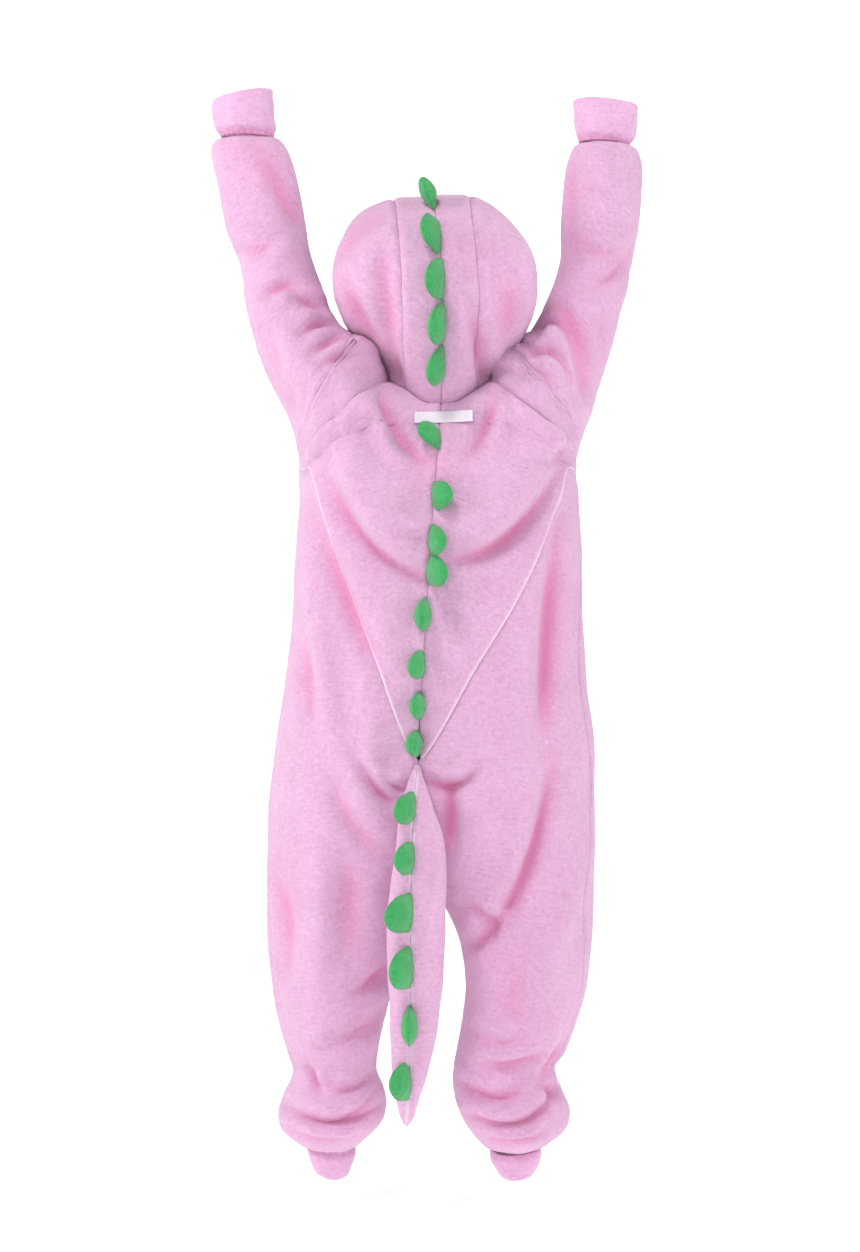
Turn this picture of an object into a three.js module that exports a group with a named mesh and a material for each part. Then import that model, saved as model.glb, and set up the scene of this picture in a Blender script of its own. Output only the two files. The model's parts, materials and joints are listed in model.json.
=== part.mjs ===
// A child's dinosaur onesie (hooded one-piece costume) in brushed fleece, holding the shape it has when it
// is worn with both arms raised. Millimetres, +Z up, the garment's front faces -Y and its spiked back +Y,
// and the wearer's left is +X. The origin is the middle of the neck at the height of the back neck seam,
// where the wearer carries it.
//
// The body is cut as two halves. Each half is a run of rings ("stations") from the wrist, over the
// shoulder, down the side and the leg to the ankle. A ring starts at the centre front (phi 0), passes the
// side seam (phi 0.5) and ends at the centre back (phi 1). Along the trunk its two ends lie on the centre
// seams; along a sleeve or a leg they meet, so that the ring is a tube. Every panel is a piece of that
// surface, given a wall.
import * as THREE from "three";

// ---- Driving sizes --------------------
const WALL = 2.6; // fleece thickness
const SEAM = 0.25; // each piece's own share of the gap at a seam
const CLEAR = 0.4; // between a panel and what lies on it
const CROTCH_Z = -556;
const UNDERARM = 10; // station of the underarm point
const SHOULDER = 7.5; // station of the armhole's top, on the shoulder line
const NECK_BASE = 14; // station whose ends are the centre-front and centre-back neck
const TAIL_ROOT = 19.35; // station of the yoke's lower point
const CROTCH = 24; // station of the crotch point
const ANKLE = 34; // last station of the leg

// ---- Stations --------------------
// Shared by both sides. closed: 0 = half ring of the trunk, 1 = closed tube. endFront and endBack: how far
// the ring's ends stand in front of and behind the middle. lobeFront and lobeBack: fullness between the
// ends and the side seam. pitch: how much the ring rises towards the back.
const DEPTH = [
  // closed, endFront, endBack, lobeFront, lobeBack, yMid, pitch
  [1, 0, 0, 33, 33, -20, 0], // 0 sleeve end, at the wrist cuff
  [1, 0, 0, 44, 44, -20, 0],
  [1, 0, 0, 45, 45, -22, 0],
  [1, 0, 0, 45, 46, -22, 0],
  [1, 0, 0, 48, 49, -18, 0], // 4 elbow
  [1, 0, 0, 52, 53, -12, 0],
  [1, 0, 0, 57, 59, -6, 0],
  [1, 0, 0, 64, 67, 0, 0],
  [1, 0, 0, 71, 77, 2, 0],
  [1, 0, 0, 77, 85, 2, 0],
  [1, 0, 0, 80, 90, 0, 0], // 10 underarm and side neck
  [0.86, 23, 23, 70, 82, 0, 0.08],
  [0.62, 41, 41, 52, 66, 0, 0.16],
  [0.36, 50, 50, 36, 50, 0, 0.24],
  [0.18, 52, 54, 28, 47, 0, 0.3], // 14 neck base
  [0.02, 82, 98, 10, 16, 0, 0.12],
  [0, 96, 112, 4, 6, 0, 0.03],
  [0, 102, 106, 4, 4, 0, 0],
  [0, 106, 102, 4, 6, 0, 0],
  [0, 108, 100, 6, 12, 0, 0], // 19 seat, just above the tail's root
  [0.06, 106, 98, 10, 18, 0, 0],
  [0.3, 94, 88, 22, 30, 0, 0],
  [0.62, 66, 62, 43, 51, 0, 0],
  [0.88, 34, 32, 66, 73, 0, 0],
  [1, 0, 0, 91, 96, 0, 0], // 24 crotch
  [1, 0, 0, 91, 95, 0, 0],
  [1, 0, 0, 90, 91, 0, 0],
  [1, 0, 0, 85, 86, 0, 0],
  [1, 0, 0, 79, 80, 0, 0], // 28 knee
  [1, 0, 0, 72, 72, 2, 0],
  [1, 0, 0, 62, 60, 4, 0.02],
  [1, 0, 0, 66, 70, 4, -0.06],
  [1, 0, 0, 68, 76, 4, -0.1],
  [1, 0, 0, 64, 70, 4, -0.1],
  [1, 0, 0, 38, 38, 6, -0.1], // 34 leg end, at the ankle cuff
].map(named("closed endFront endBack lobeFront lobeBack yMid pitch"));

// The side seam's line (lateral) and the line of the ring's ends (medial), one row for each station.
const OUTLINE_COLUMNS = "xLat zLat xEnd zEnd";
const OUTLINE_LEFT = [
  [256, 329, 185, 328],
  [263, 312, 173, 313],
  [252, 264, 162, 274],
  [241, 210, 152, 224],
  [226, 169, 145, 188],
  [220, 132, 131, 150],
  [211, 90, 119, 116],
  [196, 46, 103, 88],
  [177, 10, 84, 72],
  [162, -24, 66, 56],
  [154, -55, 52, 34],
  [153.5, -66, 45, 27],
  [153.5, -78, 26, 12],
  [154, -90, 4, -8],
  [154, -104, -13, -14],
  [158, -150, -9, -66],
  [162, -205, -2, -140],
  [167, -268, 3, -224],
  [174, -332, 8, -300],
  [183, -400, 13, -392],
  [190, -466, 12, -450],
  [193, -520, 9, -496],
  [194, -560, 7, -530],
  [194, -588, 6, -549],
  [194, -606, 6, CROTCH_Z],
  [193, -632, 19, -588],
  [190, -664, 33, -636],
  [185, -700, 45, -684],
  [176, -738, 55, -728],
  [167, -768, 62, -764],
  [160, -793, 64, -790],
  [172, -820, 56, -812],
  [178, -840, 53, -832],
  [172, -859, 60, -852],
  [150, -874, 88, -876],
].map(named(OUTLINE_COLUMNS));
const OUTLINE_RIGHT = [
  [-244, 318, -176, 323],
  [-252, 298, -167, 302],
  [-252, 258, -162, 268],
  [-247, 206, -161, 218],
  [-237, 158, -159, 182],
  [-225, 114, -145, 142],
  [-214, 70, -129, 108],
  [-202, 30, -112, 78],
  [-192, -2, -96, 58],
  [-182, -30, -84, 44],
  [-175, -55, -74, 30],
  [-173, -66, -69, 24],
  [-173, -78, -52, 10],
  [-174, -90, -30, -8],
  [-176, -104, -13, -14],
  [-179, -150, -9, -66],
  [-180, -205, -2, -140],
  [-181, -268, 3, -224],
  [-186, -332, 8, -300],
  [-196, -400, 13, -392],
  [-197, -466, 12, -450],
  [-197, -520, 9, -496],
  [-195, -560, 7, -530],
  [-194, -588, 6, -549],
  [-193, -606, 6, CROTCH_Z],
  [-191, -632, -17, -588],
  [-187, -664, -38, -636],
  [-181, -700, -46, -684],
  [-170, -738, -42, -728],
  [-160, -768, -36, -764],
  [-148, -790, -31, -788],
  [-158, -816, -30, -808],
  [-166, -840, -35, -832],
  [-158, -861, -48, -856],
  [-134, -878, -68, -880],
].map(named(OUTLINE_COLUMNS));

// Cuffs: three rings each, from the leg or sleeve to the free rim.
const CUFF_COLUMNS = "xLat zLat xEnd zEnd half yMid pitch";
const CUFFS = {
  wrist_cuff_left: [
    [254, 331.5, 187, 330.5, 31, -20, 0],
    [259, 350, 189, 350, 33, -20, 0],
    [261, 374, 191, 388, 33, -21, 0],
  ],
  wrist_cuff_right: [
    [-242, 320.5, -178, 325.5, 31, -20, 0],
    [-248, 345, -176, 345, 33, -20, 0],
    [-250, 368, -176, 376, 33, -21, 0],
  ],
  ankle_cuff_left: [
    [148, -878.5, 90, -880.5, 35, 6, -0.1],
    [142, -892, 92, -894, 33, 7, -0.16],
    [137, -903, 98, -908, 31, 8, -0.24],
  ],
  ankle_cuff_right: [
    [-132, -882.5, -70, -884.5, 35, 6, -0.1],
    [-129, -896, -76, -897, 33, 7, -0.16],
    [-124, -905, -84, -909, 31, 8, -0.24],
  ],
};

// The yoke's slanting edge: phi of the seam at a station, from the underarm to the tail.
const YOKE_EDGE = [
  [UNDERARM, 0.5],
  [12, 0.56],
  [14, 0.64],
  [15, 0.71],
  [16, 0.77],
  [17, 0.84],
  [18, 0.905],
  [TAIL_ROOT, 1],
].map(named("station phi"));
// The side seam between the front and the back, which swings a little towards the back.
const SIDE_SEAM = {
  left: [
    [UNDERARM, 0.5],
    [15.3, 0.5],
    [17, 0.52],
    [18.5, 0.53],
    [22, 0.535],
    [CROTCH, 0.545],
    [26, 0.56],
    [28, 0.55],
    [31, 0.53],
    [ANKLE, 0.5],
  ].map(named("station phi")),
  right: [
    [UNDERARM, 0.5],
    [13, 0.512],
    [15, 0.53],
    [16.5, 0.575],
    [17.5, 0.59],
    [18.5, 0.6],
    [19.5, 0.578],
    [21, 0.59],
    [22.3, 0.6],
    [26, 0.58],
    [30, 0.54],
    [ANKLE, 0.5],
  ].map(named("station phi")),
};

// The largest folds, as soft ridges (+) and troughs (-) along a curve of three points seen from behind
// (facing 1) or from the front (facing -1).
const FOLDS = [
  // facing, x1, z1, x2, z2, x3, z3, reach, height
  [1, 118, 18, 60, -250, -22, -186, 34, 12], // the pouch over the shoulder blades
  [1, -22, -186, -110, -230, -152, -40, 34, 12],
  [1, 128, -20, 96, -190, 20, -214, 16, -7], // the hollow below the pouch
  [1, 20, -214, -90, -236, -160, -66, 16, -6],
  [1, 60, 10, 20, -70, -12, -100, 16, -7], // from the neck sides
  [1, -76, 6, -40, -70, -12, -100, 16, -6],
  [1, 140, -60, 124, -240, 100, -420, 20, -8], // long folds under the arms
  [1, -156, -70, -150, -240, -132, -420, 20, -7],
  [1, 84, -452, 50, -480, 22, -452, 14, -8], // gathers at the tail's root
  [1, -66, -444, -34, -470, 0, -452, 14, -8],
  [1, -118, -470, -120, -600, -34, -640, 20, -8], // behind the right knee
  [1, 160, -846, 106, -868, 60, -842, 7, -9], // stacked cloth above the ankles
  [1, -58, -850, -98, -872, -140, -842, 7, -9],
  [-1, 164, -842, 106, -852, 60, -838, 7, -8],
  [-1, -48, -846, -98, -856, -150, -838, 7, -8],
  [-1, 120, 10, 60, -120, -12, -150, 26, 7],
  [-1, -136, 4, -70, -120, -12, -150, 26, 7],
  [-1, 140, -80, 120, -260, 96, -440, 20, -7],
  [-1, -158, -80, -140, -260, -116, -440, 20, -7],
].map(named("facing x1 z1 x2 z2 x3 z3 reach height"));

// Hood: one row for each cross arc, from the nape (t 0) over the crown to the face edge (t 1). Columns: the
// centre seam's place and the fullness to each side.
const HOOD = [
  [-13, 54, 3, 64, 60],
  [-14, 73, 34, 80, 76],
  [-15, 93, 78, 110, 102],
  [-15, 106, 126, 135, 121],
  [-12, 103, 174, 138, 124],
  [-7, 80, 218, 132, 122],
  [-3, 36, 248, 122, 116],
  [0, -18, 256, 112, 108],
  [0, -66, 245, 101, 100],
  [0, -102, 222, 92, 92],
].map(named("x y z left right"));
// The arcs' lower ends, at the centre front.
const CHIN = { x: -13, yNeck: -52, zNeck: -29, yEdge: -64, zEdge: 14 };
const HOOD_SKEW = 0.82; // under 1 puts the widest point above the middle of an arc
const NECK_LIFT = 52; // how much the side neck stands above the line from nape to chin
const NECK_LIFT_REACH = 0.68; // the t where that has died away
const NECK_SPREAD = 0.77; // matches an arc's s to the stations of the neckline
// The hood's greatest half width at a height, where the shoulders and sleeves leave it room.
const HOOD_LIMIT = [
  [-60, 76, 72],
  [0, 68, 64],
  [34, 61, 57],
  [46, 68, 65],
  [60, 78, 77],
  [74, 93, 92],
  [88, 108, 104],
  [104, 122, 113],
  [130, 138, 124],
  [170, 150, 134],
  [300, 170, 150],
].map(named("z left right"));
// The share of each arc that is the strip.
const STRIP = [0.25, 0.17, 0.105, 0.072, 0.068, 0.07, 0.076, 0.086, 0.099, 0.113];

// Tail: the centre seam's line and the width to each side of it, from the root to the tip.
const TAIL = [
  // z, seamX, left, right, thick, y of the side that lies against the seat
  [-420, 15, 3, 3, 7, 104],
  [-446, 17, 10, 14, 18, 102],
  [-470, 19, 15, 24, 28, 102],
  [-500, 20, 18, 35, 36, 103],
  [-545, 21, 23, 40, 42, 104],
  [-590, 22, 27, 40, 46, 104],
  [-640, 22, 27, 38, 47, 103],
  [-690, 22, 25, 34, 45, 101],
  [-740, 23, 22, 28, 40, 99],
  [-780, 24, 18, 20, 33, 97],
  [-812, 26, 12, 12, 25, 96],
  [-838, 27, 5, 5, 13, 97],
].map(named("z seamX left right thick yBack"));

// Spikes, from the forehead to the tail's tip. at: place along the seam (hood t, back station or tail z),
// length along the seam, height out of the cloth, lean towards +X (to the wearer's left).
const SPIKES = [
  ["hood", 0.63, 34, 38, 0.35],
  ["hood", 0.49, 46, 40, 0.6],
  ["hood", 0.37, 46, 40, 0.55],
  ["hood", 0.26, 46, 40, 0.45],
  ["hood", 0.15, 44, 38, 0.45],
  ["back", 14.8, 32, 36, 0.8],
  ["back", 15.68, 34, 36, -0.6],
  ["back", 16.26, 34, 36, -0.5],
  ["back", 16.64, 36, 42, -0.5],
  ["back", 17.27, 38, 36, 0.25],
  ["back", 18.04, 32, 34, 0.5],
  ["back", 18.54, 32, 32, 0.2],
  ["back", 19.04, 30, 32, 0.4],
  ["tail", -468, 36, 36, 0.75],
  ["tail", -524, 36, 34, 0.6],
  ["tail", -586, 42, 42, 0.85],
  ["tail", -648, 46, 40, 0.7],
  ["tail", -715, 44, 34, 0.05],
  ["tail", -781, 42, 36, 0.65],
].map(named("on at length height lean"));
const SPIKE_THICK = 18;

// Front closure: a placket over the centre-front seam, with buttons.
const PLACKET = {
  stations: [14.15, 14.5, 15, 15.6, 16.3, 17, 18, 18.6],
  columns: [0.026, 0, -0.026], // phi from the centre seam, left above zero and right below
  thick: 2.4,
};
const BUTTON = { radius: 9, thick: 4, stations: [14.75, 15.6, 16.45, 17.3, 18.1] };
const LABEL = { columns: [-50, -38, -25, -12, 0, 9, 18], drops: [3, 11, 19], tilt: 0.03, thick: 0.8 };

// ---- Colours --------------------
const fleece = (hex, roughness = 0.95) =>
  new THREE.MeshStandardMaterial({ color: hex, roughness, metalness: 0 });
const PINK = fleece(0xefb8e2);
const GREEN = fleece(0x4db873);
const WHITE = fleece(0xf4f0f6, 0.6);
const BUTTON_PINK = fleece(0xe79bd0, 0.35);

// ---- Small helpers --------------------
// Turns a row of numbers into an object with the named columns.
function named(columns) {
  const names = columns.split(" ");
  return (row) => Object.fromEntries(names.map((name, i) => [name, row[i]]));
}
const clamp = (value, low, high) => Math.min(high, Math.max(low, value));
const mix = (a, b, share) => a + (b - a) * share;
const vec = (x, y, z) => new THREE.Vector3(x, y, z);
const range = (count) => Array.from({ length: count }, (_, i) => i);

// Catmull-Rom through a column of a table, at a fractional row. At a break the curve may turn sharply.
function smooth(table, column, place, breaks = []) {
  const last = table.length - 1;
  const i = clamp(Math.floor(place), 0, last - 1);
  const f = place - i;
  const p = (k) => table[clamp(k, 0, last)][column];
  const [b, c] = [p(i), p(i + 1)];
  const a = breaks.includes(i) ? 2 * b - c : p(i - 1);
  const d = breaks.includes(i + 1) ? 2 * c - b : p(i + 2);
  return b + 0.5 * f * (c - a + f * (2 * a - 5 * b + 4 * c - d + f * (3 * (b - c) + d - a)));
}
// Straight lines through a table whose first column is the place.
function linear(table, placeColumn, column, place) {
  const up = table[1][placeColumn] > table[0][placeColumn] ? 1 : -1;
  let i = table.findIndex((row) => (row[placeColumn] - place) * up > 0);
  i = i < 0 ? table.length - 1 : Math.max(i, 1);
  const [a, b] = [table[i - 1], table[i]];
  const share = clamp((place - a[placeColumn]) / (b[placeColumn] - a[placeColumn]), 0, 1);
  return mix(a[column], b[column], share);
}

// ---- The body's surface --------------------
// A ring's point. Half ring: x follows sin(pi phi); tube: x follows (1 - cos(2 pi phi)) / 2. Depth is the
// ends' -cos(pi phi) plus the lobes' -sin(2 pi phi).
function ringPoint(ring, phi) {
  const across = mix(Math.sin(Math.PI * phi), (1 - Math.cos(2 * Math.PI * phi)) / 2, ring.closed);
  const ends = -Math.cos(Math.PI * phi);
  const lobes = -Math.sin(2 * Math.PI * phi);
  const y =
    ring.yMid +
    ends * (ends < 0 ? ring.endFront : ring.endBack) +
    lobes * (lobes < 0 ? ring.lobeFront : ring.lobeBack);
  return vec(mix(ring.xEnd, ring.xLat, across), y, mix(ring.zEnd, ring.zLat, across) + ring.pitch * y);
}
function station(outline, v) {
  const ring = {};
  for (const column of Object.keys(DEPTH[0])) ring[column] = smooth(DEPTH, column, v);
  for (const column of Object.keys(outline[0]))
    ring[column] = smooth(outline, column, v, column.endsWith("End") ? [NECK_BASE, CROTCH] : []);
  ring.closed = clamp(ring.closed, 0, 1);
  if (v >= CROTCH || v <= UNDERARM) ring.endFront = ring.endBack = 0;
  return ring;
}
// Distance to a fold's curve as seen from behind or in front, with its ends tapered.
const CURVE_STEPS = 16;
function foldHeight(point, facing) {
  let height = 0;
  for (const f of FOLDS) {
    if (f.facing !== facing) continue;
    let best = Infinity;
    let at = 0;
    for (const k of range(CURVE_STEPS + 1)) {
      const s = k / CURVE_STEPS;
      const [a, b, c] = [(1 - s) ** 2, 2 * s * (1 - s), s * s];
      const away = [point.x - (a * f.x1 + b * f.x2 + c * f.x3), point.z - (a * f.z1 + b * f.z2 + c * f.z3)];
      const d = Math.hypot(...away);
      if (d < best) [best, at] = [d, s];
    }
    height += f.height * Math.exp(-((best / f.reach) ** 2)) * Math.sin(Math.PI * mix(0.12, 0.88, at));
  }
  return height;
}
// Outward normal of a surface given by a function of two parameters, by central differences.
function normalOf(surface, a, b, lowA, highA, lowB, highB, turn) {
  const [da, db] = [0.004, 0.02];
  const u = surface(Math.min(a + da, highA), b).sub(surface(Math.max(a - da, lowA), b));
  const w = surface(a, Math.min(b + db, highB)).sub(surface(a, Math.max(b - db, lowB)));
  return u.cross(w).normalize().multiplyScalar(turn);
}
class HalfBody {
  constructor(outline) {
    this.outline = outline;
    this.turn = -Math.sign(outline[0].xLat);
    this.plain = (phi, v) => ringPoint(station(outline, v), phi);
  }
  // Point and outward normal of the cloth's middle at phi and station v.
  at(phi, v) {
    const point = this.plain(phi, v);
    const normal = normalOf(this.plain, phi, v, 0, 1, 0, ANKLE, this.turn);
    const onCentre = (phi < 1e-6 || phi > 1 - 1e-6) && v >= NECK_BASE - 0.5 && v <= CROTCH + 0.01;
    if (onCentre) normal.setX(0).normalize();
    if (v > SHOULDER) {
      const height = foldHeight(point, normal.y > 0 ? 1 : -1) * Math.abs(normal.y);
      // x is kept, so that no panel crosses its seam
      point.add(normal.clone().setX(0).multiplyScalar(height));
    }
    return { point, normal };
  }
}
const LEFT = new HalfBody(OUTLINE_LEFT);
const RIGHT = new HalfBody(OUTLINE_RIGHT);

// ---- Walls --------------------
// Closes a grid of {point, normal} rows into a wall of the given thickness. wrap joins the last column to
// the first.
function wall(grid, { wrap = false, thick = WALL } = {}) {
  const rows = grid.length;
  const columns = grid[0].length;
  const position = [];
  for (const side of [0.5, -0.5])
    for (const row of grid)
      for (const { point, normal } of row)
        position.push(...point.clone().addScaledVector(normal, side * thick));
  const id = (side, r, c) => side * rows * columns + r * columns + (c % columns);
  const index = [];
  const quad = (a, b, c, d) => index.push(a, b, c, a, c, d);
  const lastColumn = wrap ? columns : columns - 1;
  for (let r = 0; r < rows - 1; r++)
    for (let c = 0; c < lastColumn; c++) {
      quad(id(0, r, c), id(0, r + 1, c), id(0, r + 1, c + 1), id(0, r, c + 1));
      quad(id(1, r, c), id(1, r, c + 1), id(1, r + 1, c + 1), id(1, r + 1, c));
    }
  for (let c = 0; c < lastColumn; c++) {
    quad(id(0, 0, c), id(0, 0, c + 1), id(1, 0, c + 1), id(1, 0, c));
    const end = rows - 1;
    quad(id(0, end, c + 1), id(0, end, c), id(1, end, c), id(1, end, c + 1));
  }
  if (!wrap)
    for (let r = 0; r < rows - 1; r++) {
      quad(id(0, r + 1, 0), id(0, r, 0), id(1, r, 0), id(1, r + 1, 0));
      const end = columns - 1;
      quad(id(0, r, end), id(0, r + 1, end), id(1, r + 1, end), id(1, r, end));
    }
  return facingOut(position, index);
}
// A geometry whose faces point outwards, whichever way its grid ran.
function facingOut(position, index) {
  let volume = 0;
  const p = (i) => vec(...position.slice(3 * i, 3 * i + 3));
  for (let i = 0; i < index.length; i += 3)
    volume += p(index[i]).dot(p(index[i + 1]).cross(p(index[i + 2])));
  const geometry = new THREE.BufferGeometry();
  geometry.setAttribute("position", new THREE.Float32BufferAttribute(position, 3));
  const turned = index.map((_, i) => index[i - (i % 3) + 2 - (i % 3)]);
  geometry.setIndex(volume < 0 ? turned : index);
  return geometry;
}
// Draws a grid's edges in by the seam allowance, so that neighbours stay apart.
function inset(grid, { wrap = false, ends = [SEAM, SEAM], sides = [SEAM, SEAM] } = {}) {
  const pull = (from, to, by) => {
    const way = to.point.clone().sub(from.point);
    const length = way.length();
    return way.multiplyScalar(Math.min(by / Math.max(length, 1e-6), 0.45));
  };
  const shifts = [];
  const last = grid.length - 1;
  grid[0].forEach((cell, c) => shifts.push([cell, pull(cell, grid[1][c], ends[0])]));
  grid[last].forEach((cell, c) => shifts.push([cell, pull(cell, grid[last - 1][c], ends[1])]));
  if (!wrap)
    for (const row of grid) {
      shifts.push([row[0], pull(row[0], row[1], sides[0])]);
      shifts.push([row[row.length - 1], pull(row[row.length - 1], row[row.length - 2], sides[1])]);
    }
  for (const [cell, shift] of shifts) cell.point.add(shift);
  return grid;
}
const group = new THREE.Group();
function piece(name, geometry, material) {
  const mesh = new THREE.Mesh(geometry, material);
  mesh.name = name;
  group.add(mesh);
  return mesh;
}

// ---- Sleeves, fronts, backs and yokes --------------------
const SLEEVE_COLUMNS = 14;
const ARMHOLE_BEND = 1.3;
// The armhole seam: its station for a given phi, and its phi on the front or the back for a given station.
const armholeStation = (phi) => mix(SHOULDER, UNDERARM, (1 - Math.abs(2 * phi - 1)) ** ARMHOLE_BEND);
const ARMHOLE = range(SLEEVE_COLUMNS / 2 + 1)
  .map((j) => 1 - j / SLEEVE_COLUMNS)
  .map((phi) => ({ phi, station: armholeStation(phi) }));
const armholePhi = (v) => linear(ARMHOLE, "station", "phi", v);
const ARMHOLE_ROWS = [SHOULDER + 0.05, ...ARMHOLE.slice(1).map((knot) => knot.station)];

function sleeve(body) {
  const rows = [0, 0.5, 1, 2, 3, 4, 5, 6].map((v) => () => v);
  const blend = [0.5, 1].map((share) => (phi) => mix(6, armholeStation(phi), share));
  const grid = rows.concat(blend).map((place) => range(SLEEVE_COLUMNS).map((j) => {
    const phi = j / SLEEVE_COLUMNS;
    return body.at(phi, place(phi));
  }));
  return wall(inset(grid, { wrap: true }), { wrap: true });
}
// Moves a point on the neckline away from the hood's wall.
const NECK_GAP = 3;
function standOff(point, by) {
  return point.add(vec(point.x - CHIN.x, point.y, 0).setLength(by));
}
// A panel between two phi limits that may change from station to station.
function panel(body, stations, from, to, columns, raise = () => 0) {
  const grid = stations.map((v) => range(columns + 1).map((c) => {
    const phi = mix(from(v), to(v), c / columns);
    const cell = body.at(phi, v);
    cell.point.addScaledVector(cell.normal, raise(phi, v));
    if (v >= UNDERARM && v <= NECK_BASE && (phi === 0 || phi === 1)) standOff(cell.point, NECK_GAP);
    return cell;
  }));
  return wall(inset(grid));
}
const yokeEdge = (v) => linear(YOKE_EDGE, "station", "phi", v);
const sideSeam = (side, v) => linear(SIDE_SEAM[side], "station", "phi", v);
const NECK_ROWS = [10.5, 11, 11.6, 12.8];
const TRUNK_ROWS = [...NECK_ROWS, NECK_BASE, 14.5, 15, 15.6, 16.3, 17, 18];
const LEG_ROWS = [20, 21, 22, 23, 23.6, CROTCH, 24.5, 25, 26, 27, 28, 29, 30, 30.6, 31.3, 32, 33, ANKLE];
const YOKE_LIFT = 3.4; // the yoke hangs out over its lower seam
const YOKE_LIFT_REACH = 0.12;
const yokeLift = (phi, v) => v > UNDERARM
  ? YOKE_LIFT * Math.min(1, (v - UNDERARM) / 3) * clamp(1 - (phi - yokeEdge(v)) / YOKE_LIFT_REACH, 0, 1)
  : 0;

for (const [side, body] of [["left", LEFT], ["right", RIGHT]]) {
  piece(`sleeve_${side}`, sleeve(body), PINK);
  piece(
    `front_${side}`,
    panel(
      body,
      [...ARMHOLE_ROWS, ...TRUNK_ROWS, 18.7, TAIL_ROOT, ...LEG_ROWS],
      () => 0,
      (v) => (v < UNDERARM ? 1 - armholePhi(v) : sideSeam(side, v)),
      7,
    ),
    PINK,
  );
  piece(
    `yoke_${side}`,
    panel(
      body,
      [...ARMHOLE_ROWS, ...TRUNK_ROWS, 18.7, TAIL_ROOT - 0.13],
      (v) => (v < UNDERARM ? armholePhi(v) : yokeEdge(v)),
      () => 1,
      6,
      yokeLift,
    ),
    PINK,
  );
  piece(
    `back_${side}`,
    panel(
      body,
      [UNDERARM + 0.15, ...TRUNK_ROWS, 18.7, TAIL_ROOT, ...LEG_ROWS],
      (v) => sideSeam(side, v),
      (v) => Math.max(yokeEdge(v), 0.506),
      7,
    ),
    PINK,
  );
}

// ---- Cuffs --------------------
const CUFF_SIDES = 14;
for (const [name, rows] of Object.entries(CUFFS)) {
  const table = rows.map(named(CUFF_COLUMNS));
  const surface = (phi, place) => {
    const ring = { closed: 1, endFront: 0, endBack: 0 };
    for (const column of Object.keys(table[0])) ring[column] = smooth(table, column, place);
    ring.lobeFront = ring.lobeBack = ring.half;
    return ringPoint(ring, phi);
  };
  const grid = [0, 1, 2].map((place) => range(CUFF_SIDES).map((j) => {
    const phi = j / CUFF_SIDES;
    return { point: surface(phi, place), normal: normalOf(surface, phi, place, -1, 2, 0, 2, 1) };
  }));
  const outward = grid[1][CUFF_SIDES / 2].normal.x * Math.sign(table[0].xLat) > 0 ? 1 : -1;
  grid.flat().forEach((cell) => cell.normal.multiplyScalar(outward));
  piece(name, wall(grid, { wrap: true }), PINK);
}

// ---- Hood --------------------
const HOOD_ROWS = HOOD.length - 1;
// An arc runs from the centre seam to the chin: half an ellipse whose axis is that chord. Its width is held
// under HOOD_LIMIT by a soft minimum. The lowest arc is the body's own neckline, raised by the cloth's
// thickness.
function neckline(side, s) {
  const v = mix(NECK_BASE, UNDERARM, (2 * Math.min(s, 1 - s)) ** NECK_SPREAD);
  const point = (side > 0 ? LEFT : RIGHT).plain(s < 0.5 ? 1 : 0, v);
  return point.add(vec(0, 0, CLEAR));
}
const neckShare = (v) => ((NECK_BASE - v) / (NECK_BASE - UNDERARM)) ** (1 / NECK_SPREAD) / 2;
function hoodPoint(side, t, s) {
  const place = t * HOOD_ROWS;
  const top = vec(smooth(HOOD, "x", place), smooth(HOOD, "y", place), smooth(HOOD, "z", place));
  const chin = vec(CHIN.x, mix(CHIN.yNeck, CHIN.yEdge, t), mix(CHIN.zNeck, CHIN.zEdge, t));
  const column = side > 0 ? "left" : "right";
  const skew = mix(1, HOOD_SKEW, Math.min(1, t * 3));
  const point = top.lerp(chin, (1 - Math.cos(Math.PI * s)) / 2);
  const lift = NECK_LIFT * (1 - Math.min(1, t / NECK_LIFT_REACH) ** 2) ** 1.3;
  point.z += lift * Math.sin(Math.PI * s) ** (s < 0.5 ? 1.5 : 1);
  const width = smooth(HOOD, column, place) * Math.sin(Math.PI * s ** skew);
  const limit = linear(HOOD_LIMIT, "z", column, point.z);
  point.x += (side * width) / (1 + (width / limit) ** 8) ** (1 / 8);
  return point.lerp(neckline(side, s), Math.max(0, 1 - t * HOOD_ROWS) ** 2);
}
// The seams' places across an arc, as shares of it, so that the hood's lowest row meets the body's own
// rows.
const STRIP_SEAM = NECK_ROWS[2]; // the strip's outer seam stands at this station of the neckline
const stripShare = (t) => (t ? STRIP[Math.round(t * HOOD_ROWS)] : neckShare(STRIP_SEAM));
const STRIP_COLUMNS = [0, neckShare(12.8) / neckShare(STRIP_SEAM), 1];
const SIDE_COLUMNS = [
  ...[STRIP_SEAM, 11, 10.5, UNDERARM].map(neckShare),
  ...[10.5, 11, 11.6, 12.8, NECK_BASE].map((v) => 1 - neckShare(v)),
].map((s) => (s - neckShare(STRIP_SEAM)) / (1 - neckShare(STRIP_SEAM)));
function hoodPanel(side, from, to, columns) {
  const surface = (t, s) => hoodPoint(side, t, s);
  const grid = range(HOOD_ROWS + 1).map((r) => columns.map((share) => {
    const t = r / HOOD_ROWS;
    const s = mix(from(t), to(t), share);
    const normal = normalOf(surface, t, s, 0, 1, 0, 1, side);
    if (s < 1e-6 || s > 1 - 1e-6) normal.setX(0).normalize();
    return { point: surface(t, s), normal };
  }));
  return wall(inset(grid, { ends: [0, 0] }));
}
for (const [side, sign] of [["left", 1], ["right", -1]]) {
  piece(`hood_strip_${side}`, hoodPanel(sign, () => 0, stripShare, STRIP_COLUMNS), PINK);
  piece(`hood_side_${side}`, hoodPanel(sign, stripShare, () => 1, SIDE_COLUMNS), PINK);
}

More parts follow.
